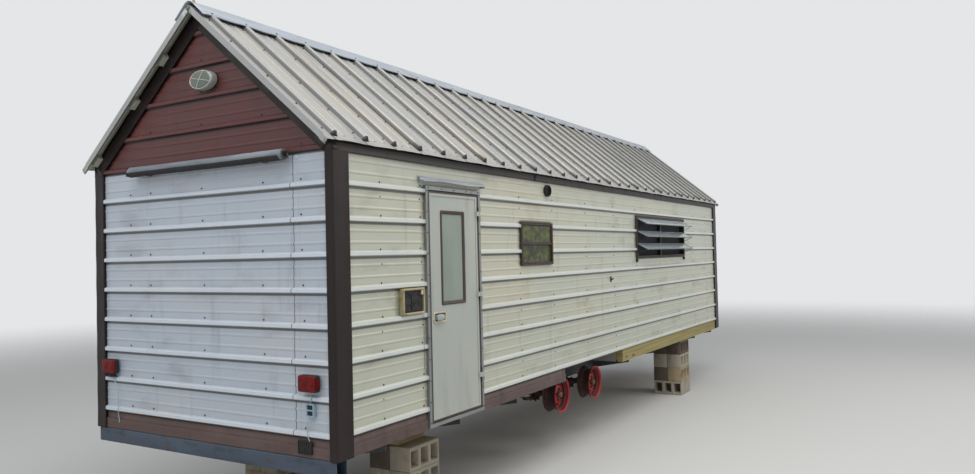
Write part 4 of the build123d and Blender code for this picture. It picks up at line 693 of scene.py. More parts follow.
# Ribs run up the slope and end short of the drip edge; each raking edge folds down.
def roofSheet(side):
    low, high = -roof["rake"], house["long"] + roof["rake"]
    xs = ribPlaces(low, high, roofRib)
    s0, s1 = -roof["eave"] / slopeCos, slopeLong - roof["ridgeGap"]
    ss = np.concatenate([[s0, s0 + 0.03, s0 + roof["stop"] - 0.001, s0 + roof["stop"]],
        np.linspace(s0 + roof["stop"] + 0.02, s1, 22)])
    x, s = np.meshgrid(xs, ss)
    n = ribRise(x, roofRib) * (s > s0 + roof["stop"] - 0.0005) + 0.0015
    pan = 1 - np.clip(ribRise(x, roofRib) / 0.02, 0, 1)
    n = n + wobble(s * 2, x * 0.7, 0.0012, side) * pan
    n = n + 0.003 * np.sin(x * 9.1 + 2 * np.sin(x * 3.3)) * np.clip((s0 + 0.08 - s) / 0.08, 0, 1) * pan
    lip = []
    for edge in (0, -1):
        shut = np.stack([x[:, edge], s[:, edge], n[:, edge]], -1)
        down = shut + np.array([-0.0012 if edge == 0 else 0.0012, 0, 0])
        lower = down - np.array([0, 0, roof["lip"]])
        back = lower + np.array([0.012 if edge == 0 else -0.012, 0, -0.001])
        lip.append(np.stack([shut, down, lower, back], 1))
    grid = np.concatenate([lip[0][:, ::-1], np.stack([x, s, n], -1), lip[1]], 1)
    points = onRoof(grid[..., 0], grid[..., 1], grid[..., 2], side)
    return points.reshape(-1, 3), gridFaces(grid.shape[0], grid.shape[1], flip=side < 0)


for side, node in ((1, "roof_sheet_door_side"), (-1, "roof_sheet_back_side")):
    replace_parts(solidify(meshFrom("roofSheetDoor" if side > 0 else "roofSheetBack", *roofSheet(side), paint["roofZinc"],
        "galvanised_steel"),
                         0.0009), node)


# A folded cap: both legs in one section, with a rolled hem, sagging a little between the ribs.
def ridgeCap():
    across = np.array([-0.168, -0.166, -0.158, -0.150, -0.10, -0.05, -0.012, 0.0, 0.012, 0.05, 0.10, 0.150, 0.158,
        0.166, 0.168])
    drop = np.array([0.008, 0.001, -0.001, 0.0, 0.0, 0.0, -0.001, -0.004, -0.001, 0.0, 0.0, 0.0, -0.001, 0.001, 0.008])
    xs = np.arange(-roof["rake"], house["long"] + roof["rake"] + 0.01, 0.0508)
    xs[-1] = house["long"] + roof["rake"]
    x, a = np.meshgrid(xs, across)
    sag = 0.0035 * (0.5 - 0.5 * np.cos(2 * np.pi * x / roofRib["pitch"])) * np.clip((np.abs(a) - 0.06) / 0.1, 0, 1)
    n = 0.0334 - drop[:, None] - sag + 0.0012 * np.sin(3.1 * x + 2 * np.sin(1.3 * x))
    s = slopeLong - np.abs(a)
    door, back = onRoof(x, s, n, 1), onRoof(x, s, n, -1)
    points = np.where((a < 0)[..., None], door, back)
    top = (onRoof(x, s, n, 1) + onRoof(x, s, n, -1)) / 2
    points = np.where((a == 0)[..., None], top, points)
    return points.reshape(-1, 3), gridFaces(len(across), len(xs))


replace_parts(solidify(meshFrom("ridgeCapSheet", *ridgeCap(), paint["capZinc"], "galvanised_steel"), 0.0011), "ridge_cap")


# The pale board under a raking overhang, with two shallow beads along it and the purlin ends sleeved below it.
def soffit(end, side):
    s = np.linspace(-roof["eave"] / slopeCos + 0.004, slopeLong - 0.004, 40)
    line = np.array([(0.0252, -0.0022), (0.048, -0.0022), (0.050, -0.0036), (0.052, -0.0022), (0.073, -0.0022),
        (0.075, -0.0036), (0.077, -0.0022), (0.0985, -0.0022)])
    ss, k = np.meshgrid(s, np.arange(len(line)), indexing="ij")
    x = -line[k, 0] if end > 0 else house["long"] + line[k, 0]
    board = facing((onRoof(x, ss, line[k, 1], side).reshape(-1, 3), gridFaces(*ss.shape)), (0, side * slopeSin,
        -slopeCos))
    x0, x1 = (-0.0640, -0.0236) if end > 0 else (house["long"] + 0.0236, house["long"] + 0.0640)
    return board, [roofShape(brick((x0, p - 0.0015, -0.0395), (x1, p + 0.0905, -0.0042), 0.0012, 0.001),
        side) for p in purlinRows]


purlinRows = (0.002, 0.620, 1.060)
boards, sleeves = zip(*[soffit(end, side) for end in (1, -1) for side in (1, -1)])
solidify(meshFrom("rakeSoffits", *joined(*boards), paint["soffitPale"], "cream_steel"), 0.0008)
meshFrom("purlinSleeves", *joined(*sum(sleeves, [])), paint["soffitPale"], "cream_steel", outward=True)
print("roof made")

# Trims: folded strips over the ribs' crests at the corners and eaves, and the flashing round the rim
trim = {"out": 0.0213, "side": 0.136, "tailDoor": 0.046, "end": 0.084, "low": -0.1278, "top": 1.894, "eaveLow": 1.820,
        "eaveTop": 1.9107, "eaveJoints": (2.74, 6.10), "sheet": 0.0011, "step": 0.009, "start": 0.006,
        "skirtLow": -0.1278}


# Both legs with a rounded corner and an edge hem that steps down to the sheet.
def cornerTrim(end, side):
    out, leg = trim["out"], trim["side"]
    endLeg = trim["tailDoor"] if end > 0 and side > 0 else trim["end"]
    plan = np.array([(0.0008, -endLeg), (out - 0.003, -endLeg), (out, -endLeg + 0.003), (out + 0.0007, -endLeg + 0.009),
        (out, -endLeg + 0.014),
                     (out, out - 0.02), (out, out - 0.004), (out - 0.0012, out - 0.0012), (out - 0.004, out),
                     (out - 0.02, out), (-leg / 2, out),
                     (-leg + 0.014, out), (-leg + 0.009, out + 0.0007), (-leg + 0.003, out), (-leg, out - 0.003),
                     (-leg, 0.0008)])
    z = np.concatenate([[trim["low"], trim["low"] + 0.006], np.linspace(trim["low"] + 0.05, trim["top"], 34)])
    zz, k = np.meshgrid(z, np.arange(len(plan)), indexing="ij")
    ripple = 0.0007 * np.sin(23 * zz + 3 * side + end) * ((k > 3) & (k < len(plan) - 4))
    a, b = plan[k, 0] + ripple, plan[k, 1] + ripple
    x = house["tail"] - a if end > 0 else house["hitch"] + a
    points = np.stack([x, side * (house["doorY"] - b), house["foot"] + zz], -1)
    return facing((points.reshape(-1, 3), gridFaces(len(z), len(plan))), (-end, -side, 0))


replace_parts(solidify(meshFrom("cornerTrims", *joined(*[cornerTrim(end, side) for end in (1, -1) for side in (1, -1)]),
                              paint["trimBrown"], "brown_steel"), trim["sheet"]), "corner_trims")


# A strip from under the roof sheet to the hem over the top rib, in three lengths lapped at the joints.
def eaveTrim(side):
    out, lengths = trim["out"], [-trim["out"], *trim["eaveJoints"], house["long"] + trim["out"]]
    parts = []
    for number in range(3):
        lap = 0.0009 * (number % 2)
        line = [(0.006, trim["eaveLow"] + 0.004), (out - 0.002, trim["eaveLow"] - 0.001), (out + 0.0016,
            trim["eaveLow"] + 0.001),
                (out + 0.0012, trim["eaveLow"] + 0.009), (out, trim["eaveLow"] + 0.013), (out, 1.868), (out + 0.0012,
                1.872), (out, 1.876),
                (out, trim["eaveTop"])]
        along = np.arange(lengths[number] - 0.03 * (number > 0), lengths[number + 1] + 1e-6, 0.06)
        along[-1] = lengths[number + 1]
        sway = lambda a, u, v: onSide(a, u + lap + 0.0008 * np.sin(7 * a + 2 * np.sin(3 * a)),
            v + 0.0022 * np.sin(2.3 * a + 1.7) * (v < 1.84), side)
        parts.append(facing(strip(line, along, sway), (0, -side, 0)))
    return joined(*parts)


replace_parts(solidify(meshFrom("eaveTrims", *joined(eaveTrim(1), eaveTrim(-1)), paint["trimBrown"], "brown_steel"),
    trim["sheet"]), "eave_trims")


# Flashing that steps out over the rim and hangs over its face, dented a little, in lapped lengths.
def skirt(place, low, high, toward, seed):
    step, parts = trim["step"], []
    line = [(0.0003, -0.0015), (0.0003, -0.048), (0.0012, -0.0512), (step - 0.001, -0.0545), (step, -0.057),
        (step, -0.08), (step, -0.10),
            (step, trim["skirtLow"] + 0.01), (step + 0.001, trim["skirtLow"] + 0.005), (step, trim["skirtLow"] + 0.001)]
    cutsAt = np.linspace(low, high, max(2, int(round((high - low) / 3.0)) + 1))
    for number in range(len(cutsAt) - 1):
        along = np.linspace(cutsAt[number] - 0.045 * (number > 0), cutsAt[number + 1], 60)
        lap = 0.001 * (number % 2)
        dent = lambda a, u, v: place(a,
            u + lap + 0.0016 * np.sin(5.1 * a + 3 * np.sin(2.2 * a + seed) + 9 * v) * (u > step - 0.002), v)
        parts.append(facing(strip(line, along, dent), toward))
    return joined(*parts)


sideSkirt = lambda a, u, v: onSide(a, u, v, 1)
backSkirt = lambda a, u, v: onSide(a, u, v, -1)
endSkirt = lambda a, u, v: onEnd(a, u, v, 1)
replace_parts(solidify(meshFrom("skirtFlashing", *joined(
    skirt(sideSkirt, trim["start"], 0.9747, (0, -1, 0), 0.4), skirt(sideSkirt, 1.7373, 3.316, (0, -1, 0), 1.1),
    skirt(backSkirt, trim["start"], 3.316, (0, 1, 0), 2.0), skirt(endSkirt, trim["start"],
    house["wide"] - trim["start"], (-1, 0, 0), 3.0)),
    paint["skirtBrown"], "brown_steel"), trim["sheet"]), "skirt_flashing")


# Rake trims: a band under each raking edge, notched round the purlin ends, with a fold line along it
def rakeTrim(end, side):
    out = trim["out"] + 0.0021
    line = [(0.004, -0.1175), (out - 0.002, -0.118), (out + 0.001, -0.116), (out + 0.0006, -0.110), (out, -0.106),
        (out, -0.0387), (out, -0.0012)]
    notches = [(p - 0.0006, p + 0.0896) for p in purlinRows]
    stops = np.unique(np.concatenate([np.linspace(-trim["out"] / slopeCos, slopeLong - 0.001, 60), np.ravel(notches)]))
    stops = stops[(stops >= -trim["out"] / slopeCos) & (stops <= slopeLong - 0.001)]
    polyline = np.array(line)
    s, k = np.meshgrid(stops, np.arange(len(line)), indexing="ij")
    u = polyline[k, 0] + 0.0008 * np.sin(11 * s + end) * (k > 3)
    points = onRoof(-u if end > 0 else house["long"] + u, s, polyline[k, 1], side)
    middle = (stops[:-1] + stops[1:]) / 2
    keep = np.ones((len(stops) - 1, len(line) - 1), bool)
    for low, high in notches:
        keep[(middle > low) & (middle < high), -1] = False
    return facing((points.reshape(-1, 3), gridFaces(len(stops), len(line), keep)), (-end, 0, 0))


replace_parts(solidify(meshFrom("rakeTrims", *joined(*[rakeTrim(end, side) for end in (1, -1) for side in (1, -1)]),
                              paint["trimBrown"], "brown_steel"), trim["sheet"]), "rake_trims")
print("trims made")

# Tail end: lamps, plate fitting, hatch, wires, bumper, rolled awning and gable lamp
tail = {"doorLamp": (0.196, 0.352), "backLamp": (2.262, 0.352), "half": (0.076, 0.054), "back": 0.016, "deep": 0.046,
        "plate": (0.200, 0.180), "hatch": (0.198, 0.317, -0.105, -0.016), "bumper": (-5.179, -5.079, 0.6687, 0.7767)}


def lampShapes(y, z):
    wide, high = tail["half"]
    low, top, back, front = (y - wide, z - high), (y + wide, z + high), tail["back"], tail["back"] + tail["deep"]
    bracket = pad((y - 0.040, z - 0.030), (y + 0.040, z + 0.030), [(0.001, 0.0003), (0, 0.002), (0, back)], 0.004)
    housing = pad(low, top, [(0.008, back - 0.002), (0.001, back), (0, back + 0.004), (0, front - 0.016),
        (0.002, front - 0.015), (0.002, front - 0.013)], 0.016, 6)
    lens = pad(low, top, [(0.003, front - 0.0145), (0.0015, front - 0.0135), (0.0015, front - 0.006),
        (0.004, front - 0.002), (0.009, front - 0.0008),
                          (0.024, front - 0.0002), (0.050, front)], 0.016, 6)
    rings = [mapped(turned([(0.026, -0.001), (0.026, 0.0015), (0.0235, 0.002), (0.0225, 0.0005), (0.012, 0.001),
        (0.010, 0.0022), (0, 0.0025)], 28),
                    (y + shift, z, front - 0.0004)) for shift in (-0.036, 0.036)]
    bar = brick((y - 0.002, z - 0.046, front - 0.002), (y + 0.002, z + 0.046, front + 0.0012), 0.0008, 0.001)
    return [bracket, housing], [lens, bar, *rings]


holder, lens = zip(lampShapes(*tail["doorLamp"]), lampShapes(*tail["backLamp"]))
marker = [brick((0.1135, 0.325, 0.020), (0.1195, 0.379, 0.050), 0.0015, 0.003), brick((0.1095, 0.334, 0.024),
    (0.1145, 0.370, 0.044), 0.0015, 0.003)]
foot = [brick((2.214, 0.274, 0.018), (2.300, 0.2975, 0.050), 0.002, 0.003)]
foot += [mapped(turned([(0.007, 0), (0.0075, 0.002), (0.0075, 0.008), (0.005, 0.011), (0, 0.0115)], 10),
    (y, 0.286, 0.049))
         for y in (2.232, 2.282)]
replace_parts(meshFrom("tailLampHousings", *endShape(joined(*sum(holder, []), *foot)), paint["gasketBlack"],
    "dark_plastic", outward=True), "tail_lamps")
meshFrom("tailLampLenses", *endShape(joined(*lens[0], *lens[1], *marker)), paint["lampRed"], "lamp_red", outward=True)

py, pz = tail["plate"]
plate = [pad((py - 0.033, pz - 0.042), (py + 0.033, pz + 0.042), [(0.001, 0.0003), (0, 0.002), (0, 0.018),
    (0.001, 0.019)], 0.005, 4),
         ringFrame((py - 0.033, pz - 0.042), (py + 0.033, pz + 0.042), [(0.0, 0.018), (0.0, 0.027), (0.002, 0.030),
         (0.007, 0.030), (0.009, 0.027), (0.009, 0.018)], 0.006, 5),
         brick((py - 0.026, pz - 0.004, 0.017), (py + 0.026, pz + 0.004, 0.0285), 0.001, 0.001)]
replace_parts(meshFrom("plateFitting", *endShape(joined(*plate)), paint["fittingBlue"], "grey_plastic", outward=True),
    "plate_lamp")
meshFrom("plateWindows", *endShape(joined(*[pad((py - 0.0235, pz + a), (py + 0.0235, pz + b), [(0, 0.018), (0, 0.0215),
    (0.002, 0.0225)], 0.002)
                                            for a, b in ((-0.0325, -0.0045), (0.0045, 0.0325))])), paint["gasketBlack"],
                                            "dark_plastic", outward=True)

y0, y1, z0, z1 = tail["hatch"]
hatch = [pad((y0, z0), (y1, z1), [(0.001, 0.0093), (0, 0.0105), (0, 0.017), (0.001, 0.018)], 0.006, 4),
         ringFrame((y0, z0), (y1, z1), [(0, 0.017), (0, 0.021), (0.002, 0.023), (0.007, 0.023), (0.008, 0.021),
         (0.008, 0.017)], 0.006, 5)]
for row in (0, 1):
    low = z0 + 0.011 + row * 0.036
    hatch += [brick((y0 + 0.011 + k * 0.0166, low, 0.016), (y0 + 0.011 + k * 0.0166 + 0.0125, low + 0.031, 0.0212),
        0.0015, 0.002) for k in range(6)]
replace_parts(meshFrom("cordHatchCover", *endShape(joined(*hatch)), paint["gasketBlack"], "dark_plastic", outward=True),
    "cord_hatch")

wirePaths = [[(2.238, 0.030, 0.280), (2.228, 0.0262, 0.245), (2.198, 0.0224, 0.18), (2.189, 0.0224, 0.10),
    (2.193, 0.0224, 0.03), (2.197, 0.017, -0.02),
              (2.196, 0.0122, -0.05), (2.196, 0.0122, -0.078)],
             [(0.212, 0.016, 0.141), (0.220, 0.0224, 0.115), (0.232, 0.0224, 0.065), (0.224, 0.0224, 0.015),
             (0.215, 0.021, -0.010), (0.214, 0.0185, -0.024)],
             [(0.196, 0.030, 0.300), (0.190, 0.0262, 0.272), (0.192, 0.0224, 0.245), (0.198, 0.021, 0.220)]]
wirePaths = [smoothPath(p, 34) for p in wirePaths]
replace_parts(meshFrom("lampWires", *joined(*[wire(onEnd(p[:, 0], p[:, 1], p[:, 2]), 0.0028, 8,
    up=(1, 0, 0)) for p in wirePaths]),
                     paint["wireTeal"], "dark_plastic", sharp=80, outward=True), "lamp_wires")

x0, x1, z0, z1 = tail["bumper"]
tubeProfile = [(0, y) for y in np.linspace(-1.219, 1.219, 25)] + [(0.006, y) for y in np.linspace(1.219, -1.219, 2)]
points, faces = ringFrame((x0, z0), (x1, z1), tubeProfile, 0.011, 5)
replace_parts(meshFrom("bumperTube", points[:, [0, 2, 1]], faces, paint["bumperSteel"], "bumper_steel", outward=True),
    "bumper")

roll = {"out": 0.062, "z": 1.820, "y": (0.346, 1.945), "radius": 0.0352, "turns": 2.6}


# A cloth roll: its section steps at the loose edge, and the roll thickens and sags a little along its length.
def awningRoll():
    angle = np.linspace(0, 2 * np.pi, 56) + 3.9
    y = np.linspace(roll["y"][0] + 0.006, roll["y"][1], 90)
    yy, k = np.meshgrid(y, np.arange(len(angle)), indexing="ij")
    a = angle[k]
    radius = roll["radius"] + 0.0016 * (k / 55) + 0.0006 * np.sin(9 * yy + 2 * a) + 0.0004 * np.sin(40 * yy + 3 * a)
    out = roll["out"] + radius * np.cos(a)
    z = roll["z"] + radius * np.sin(a) - 0.0012 * np.sin(np.pi * (yy - y[0]) / (y[-1] - y[0]))
    points, count = onEnd(yy, out, z).reshape(-1, 3), len(angle)
    faces = gridFaces(len(y), count, closeColumn=True)
    return capped(points, faces, [(0, False), ((len(y) - 1) * count, True)], count)


rail = [(0.0245, -0.006), (0.030, -0.022), (0.042, -0.0345), (0.062, -0.0395), (0.082, -0.0345), (0.094, -0.022),
    (0.0985, -0.008), (0.0975, -0.006),
        (0.0925, -0.020), (0.0810, -0.0325), (0.062, -0.0372), (0.043, -0.0325), (0.0315, -0.020), (0.0262, -0.006)]
rail = np.array(rail)
stations = np.linspace(roll["y"][0] + 0.03, roll["y"][1] - 0.002, 30)
yy, k = np.meshgrid(stations, np.arange(len(rail)), indexing="ij")
points = onEnd(yy, rail[k, 0], roll["z"] + rail[k, 1] + 0.0006 * np.sin(5 * yy), 1).reshape(-1, 3)
meshFrom("awningRail", *capped(points, gridFaces(30, len(rail), closeColumn=True), [(0, False), (29 * len(rail), True)],
    len(rail)), paint["gasketBlack"], "dark_plastic", sharp=50, outward=True)
fittings = []
for y in (roll["y"][0] + 0.2, roll["y"][1] - 0.2):
    fittings += [brick((y - 0.020, roll["z"] - 0.016, 0.0004), (y + 0.020, roll["z"] + 0.016, 0.046), 0.002, 0.002),
                 brick((y - 0.014, roll["z"] - 0.0395, 0.030), (y + 0.014, roll["z"] - 0.034, 0.090), 0.001, 0.001)]
first = roll["y"][0]
fittings += [brick((first, roll["z"] - 0.022, roll["out"] - 0.022), (first + 0.008, roll["z"] + 0.022,
    roll["out"] + 0.022), 0.003, 0.020),
             brick((roll["y"][1] - 0.004, roll["z"] - 0.033, roll["out"] - 0.033), (roll["y"][1] + 0.008,
             roll["z"] + 0.033, roll["out"] + 0.033), 0.003, 0.016)]
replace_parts(meshFrom("awningRoll", *awningRoll(), paint["awningCloth"], "awning_cloth", sharp=28, outward=True),
    "rolled_awning")
meshFrom("awningBrackets", *endShape(joined(*fittings)), paint["boltSteel"], "dark_plastic", outward=True)

# the lamp's face is an oval, wider than high, and shallow
lampCentre = np.array([1.150, 2.4128, 0.0])
lampAxes = np.diag([1.40, 0.81, 0.56])
drum = turned([(0, 0.0003), (0.067, 0.0003), (0.068, 0.002), (0.069, 0.018), (0.082, 0.0195), (0.084, 0.022),
    (0.084, 0.058), (0.0815, 0.060), (0.0815, 0.066),
               (0.084, 0.068), (0.084, 0.100), (0.082, 0.107), (0.0785, 0.111), (0.075, 0.110), (0, 0.108)], 56)
dome = turned([(0.0745, 0.1085), (0.0742, 0.113), (0.069, 0.118), (0.055, 0.1215), (0.035, 0.1235), (0.015, 0.1245),
    (0, 0.1247)], 48)
circle = np.arange(49)[:-1] * 2 * np.pi / 48
guard = [wire(np.stack([r * np.cos(circle), r * np.sin(circle), 0 * circle + h], -1), thick, 8, closed=True) for r, h,
    thick in ((0.0765, 0.1135, 0.0036), (0.0775, 0.099, 0.0024))]
span = np.linspace(-1, 1, 25)
for turn in (0.35, 0.35 + np.pi / 2):
    guard.append(wire(np.stack([0.0765 * span * np.cos(turn), 0.0765 * span * np.sin(turn),
        0.1125 + 0.0165 * np.sqrt(1 - 0.98 * span ** 2)], -1), 0.0030, 8,
                      up=(-np.sin(turn), np.cos(turn), 0)))
lampParts = {"gableLampDrum": (drum, "plasticGrey", "grey_plastic"), "gableLampGlass": (dome, "lampGlass",
    "window_glass"),
             "gableLampGuard": (joined(*guard), "latchCream", "grey_plastic")}
for name, (shape, key, slot) in lampParts.items():
    made = meshFrom(name, *endShape(mapped(shape, lampCentre, lampAxes)), paint[key], slot, outward=True)
    if name == "gableLampDrum":
        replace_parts(made, "gable_lamp")
print("tail fittings made")

# Door: a stop behind the leaf, a lip and screws on the frame, and the leaf's glass rim and latch
door = {"low": (0.975, -0.118), "high": (1.737, 1.660), "flange": 0.028, "gap": 0.007, "out": 0.021, "glass": (1.190,
    1.476, 0.792, 1.462),
        "latch": (1.053, 1.219, 0.640, 0.724)}
(dx0, dz0), (dx1, dz1) = door["low"], door["high"]


# Screw places along the flange of a frame round an opening.
def flangeScrews(low, high, inset, out, pitch, side=1, sides="lrtb"):
    (x0, z0), (x1, z1) = low, high
    places = []
    for key, fixed, a, b in (("l", x0 + inset, z0, z1), ("r", x1 - inset, z0, z1), ("b", z0 + inset, x0, x1),
        ("t", z1 - inset, x0, x1)):
        if key in sides:
            run = np.linspace(a + 0.035, b - 0.035, max(2, int(round((b - a - 0.07) / pitch)) + 1))
            x, z = (fixed + 0 * run, run) if key in "lr" else (run, fixed + 0 * run)
            places.append(onSide(x, out, z, side))
    return np.concatenate(places)


inner = door["flange"]
stop = ringFrame(door["low"], door["high"], [(inner + 0.0003, -0.0236), (inner + 0.017, -0.0236), (inner + 0.017,
    -0.034), (inner + 0.0003, -0.034)])
meshFrom("doorStop", *sideShape(stop), paint["gasketBlack"], "dark_plastic", outward=True)
lip = ringFrame(door["low"], door["high"], [(inner - 0.0045, 0.0209), (inner - 0.004, 0.0228), (inner - 0.001, 0.0228),
    (inner - 0.0003, 0.0209)])
edge = ringFrame(door["low"], door["high"], [(0.0004, 0.0209), (0.0008, 0.0220), (0.0035, 0.0222), (0.0045, 0.0209)])
meshFrom("doorFrameLips", *sideShape(joined(lip, edge)), paint["doorAluminium"], "window_aluminium", outward=True)
meshFrom("doorFrameScrews", *screws(flangeScrews(door["low"], door["high"], 0.013, 0.0212, 0.16, sides="lrt"),
    outDoorSide, 0.0042),
         paint["boltSteel"], "window_aluminium", outward=True)

gap = door["flange"] + door["gap"]
edging = ringFrame((dx0 + gap, dz0 + gap), (dx1 - gap, dz1 - gap),
                   [(-0.0006, 0.0090), (-0.0008, 0.0185), (0.0005, 0.0196), (0.0120, 0.0196), (0.0132, 0.0190),
                   (0.0134, 0.0178), (0.0002, 0.0178), (0.0002, 0.0090)])
meshFrom("doorLeafEdging", *sideShape(edging), paint["rimBrown"], "window_aluminium", body="door", outward=True)

gx0, gx1, gz0, gz1 = door["glass"]
rim = ringFrame((gx0 - 0.024, gz0 - 0.024), (gx1 + 0.024, gz1 + 0.024),
                [(0, 0.0133), (0, 0.0165), (0.002, 0.0188), (0.007, 0.0195), (0.012, 0.0192), (0.016, 0.0174),
                (0.021, 0.0168), (0.025, 0.0150), (0.027, 0.0118),
                 (0.027, 0.0085), (0.0243, 0.0085), (0.0243, 0.0133)], 0.014, 5)
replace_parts(meshFrom("doorGlassRim", *sideShape(rim), paint["rimBrown"], "window_aluminium", body="door", outward=True),
    "door_glass_rim")

lx0, lx1, lz0, lz1 = door["latch"]
bezel = ringFrame((lx0, lz0), (lx1, lz1), [(0, 0.0132), (0, 0.0175), (0.0025, 0.0205), (0.010, 0.0212),
    (0.0135, 0.0195), (0.015, 0.0150), (0.015, 0.0132)], 0.020, 7)
tray = pad((lx0 + 0.0145, lz0 + 0.0145), (lx1 - 0.0145, lz1 - 0.0145), [(0, 0.0131), (0, 0.0142)], 0.008, 5)
paddle = pad((lx0 + 0.020, lz0 + 0.019), (lx1 - 0.058, lz1 - 0.019), [(0.004, 0.0140), (0.002, 0.030), (0, 0.036),
    (0.002, 0.0395), (0.008, 0.0415), (0.018, 0.0425)], 0.012, 6)
grip = brick((lx1 - 0.060, lz0 + 0.030, 0.0140), (lx1 - 0.026, lz1 - 0.030, 0.0235), 0.002, 0.006, 4)
tongue = brick((lx0 - 0.012, lz0 + 0.030, 0.0132), (lx0 - 0.0005, lz1 - 0.032, 0.0200), 0.0015, 0.002)
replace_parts(meshFrom("latchBezel", *sideShape(joined(bezel, tongue)), paint["latchCream"], "window_aluminium",
    body="door", outward=True), "door_latch")
meshFrom("latchTray", *sideShape(tray), paint["gasketBlack"], "dark_plastic", body="door", outward=True)
meshFrom("latchPaddle", *sideShape(joined(paddle, grip)), paint["plasticGrey"], "grey_plastic", body="door",
    outward=True)

# Drip cap over the door: a wavy bent strip with its left end folded to a gusset
drip = {"x": (0.906, 1.772), "z": 1.704}
line = [(0.0006, 0.0262), (0.018, 0.0178), (0.036, 0.0088), (0.0495, 0.0012), (0.0518, -0.0012), (0.0518, -0.0100),
    (0.0500, -0.0120), (0.0488, -0.0095)]
bend = lambda a, u, v: onSide(a, u + (0.0018 * np.sin(19 * a) - 0.0012) * (u > 0.01),
    v + drip["z"] + 0.0030 * np.sin(11 * a + 1) * (u > 0.01), 1)
cap = facing(strip(line, np.linspace(*drip["x"], 60), bend), (0, -1, 0.6))
ends = []
for a, lean in ((drip["x"][0], -0.007), (drip["x"][1], 0.003)):
    fold = np.array([(a, 0.0006, 0.0262), (a + lean, 0.050, 0.0016), (a + lean * 1.6, 0.046, -0.018), (a + lean * 0.3,
        0.0012, -0.016)])
    ends.append(facing((onSide(fold[:, 0], fold[:, 1], fold[:, 2] + drip["z"]), np.array([[0, 1, 2, 3]])),
        (np.sign(lean), 0, 0)))
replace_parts(solidify(meshFrom("dripCap", *joined(cap, *ends), paint["capZinc"], "galvanised_steel"), 0.0009),
    "drip_cap")
print("door fittings made")

# Windows on both sides: framed openings, the small one with two lights and the wide one with three swung panes
windows = {"small": ((2.443, 1.036), (3.083, 1.432), 0.026), "awning": ((5.424, 1.056), (7.398, 1.584), 0.030),
    "liner": -0.0635,
           "mid": 1.234, "mullion": 6.411, "paneHigh": 0.156, "paneX": (5.458, 7.364), "swing": np.radians(62),
           "pivot": 0.015}


# A flange with a rolled outer edge and a raised inner bead, and a liner through the wall.
def frameShape(low, high, flange):
    back = windows["liner"]
    return ringFrame(low, high, [(0, 0.0004), (0, 0.0175), (0.0012, 0.0202), (0.0035, 0.0210), (0.0070, 0.0204),
        (0.0095, 0.0186), (flange - 0.0100, 0.0186),
                                 (flange - 0.0080, 0.0208), (flange - 0.0030, 0.0212), (flange, 0.0190), (flange, back),
                                 (flange - 0.003, back),
                                 (flange - 0.003, 0.0004)], 0.010, 4)


frames, glazing, paneRims, arms, flangePlaces = [], [], [], [], {1: [], -1: []}
for side in (1, -1):
    low, high, flange = windows["small"]
    mid = windows["mid"]
    bars = brick((low[0] + flange - 0.001, mid - 0.009, -0.012), (high[0] - flange + 0.001, mid + 0.009, 0.0168),
        0.0015, 0.001)
    beads = [ringFrame((low[0] + flange - 0.0005, a), (high[0] - flange + 0.0005, b), [(0, out - 0.003),
        (0, out + 0.003), (0.003, out + 0.004), (0.008, out + 0.001), (0.008, out - 0.003)], 0.004, 3)
             for a, b, out in ((low[1] + flange - 0.0005, mid - 0.009, 0.002), (mid + 0.009, high[1] - flange + 0.0005,
             0.010))]
    frames += [sideShape(joined(frameShape(low, high, flange), bars, *beads), side)]
    glazing += [sideShape(pad((low[0] + flange - 0.001, a), (high[0] - flange + 0.001, b), [(0.0005, out - 0.004),
        (0.0005, out)], 0.002), side)
                for a, b, out in ((low[1] + flange, mid - 0.009, 0.0), (mid + 0.009, high[1] - flange, 0.008))]
    flangePlaces[side] += [flangeScrews(low, high, 0.0135, 0.0192, 0.125, side)]
    low, high, flange = windows["awning"]
    x = windows["mullion"]
    frames += [sideShape(joined(frameShape(low, high, flange), brick((x - 0.022, low[1] + flange - 0.001, -0.040),
        (x + 0.022, high[1] - flange + 0.001, -0.0045), 0.0015, 0.001)), side)]
    flangePlaces[side] += [flangeScrews(low, high, 0.0150, 0.0192, 0.075, side, "tb"), flangeScrews(low, high, 0.0150,
        0.0192, 0.12, side, "lr")]
    (px0, px1), swing = windows["paneX"], windows["swing"]
    for number in range(3):
        pivot = high[1] - flange - number * windows["paneHigh"] - 0.011

        def hung(shape):
            # (along, down the pane, off its outer face) to the wall's (along, up, out)
            points, faces = shape
            d, t = points[:, 1], points[:, 2]
            return sideShape((np.stack([points[:, 0], pivot - d * np.cos(swing) + t * np.sin(swing),
                windows["pivot"] + d * np.sin(swing) + t * np.cos(swing)], -1), faces), side)

        paneRims += [hung(ringFrame((px0 - 0.001, -0.008), (px1 + 0.001, 0.1495),
                                    [(0, -0.0015), (0, 0.0070), (0.0015, 0.0085), (0.0085, 0.0085), (0.0100, 0.0062),
                                    (0.0100, 0.0052), (0.0065, 0.0052), (0.0065, 0.0002), (0.0100, -0.0015)], 0.004,
                                    3))]
        glazing += [hung(pad((px0 + 0.004, -0.003), (px1 - 0.004, 0.1445), [(0, 0.0004), (0, 0.0050)], 0.002))]
        for x in (px0 - 0.0015, px1 + 0.0015):
            paneRims += [hung(brick((x - 0.0016, 0.118, -0.004), (x + 0.0016, 0.146, 0.011), 0.0005, 0.0005))]
            reach = np.array([[x, pivot - 0.118, 0.004], [x, pivot - 0.105, 0.055], [x, pivot - 0.132 * np.cos(swing),
                windows["pivot"] + 0.132 * np.sin(swing)]])
            arms += [wire(onSide(*smoothPath(reach, 8).T[[0, 2, 1]], side), 0.0026, 6, up=(1, 0, 0))]
    for x in (px0 + 0.006, px1 - 0.006):
        knob = mapped(turned([(0.010, 0), (0.0105, 0.003), (0.009, 0.012), (0.012, 0.015), (0.012, 0.021),
            (0.009, 0.024), (0, 0.0245)], 12), (x, low[1] + flange + 0.020, 0.001))
        arms += [sideShape(knob, side)]
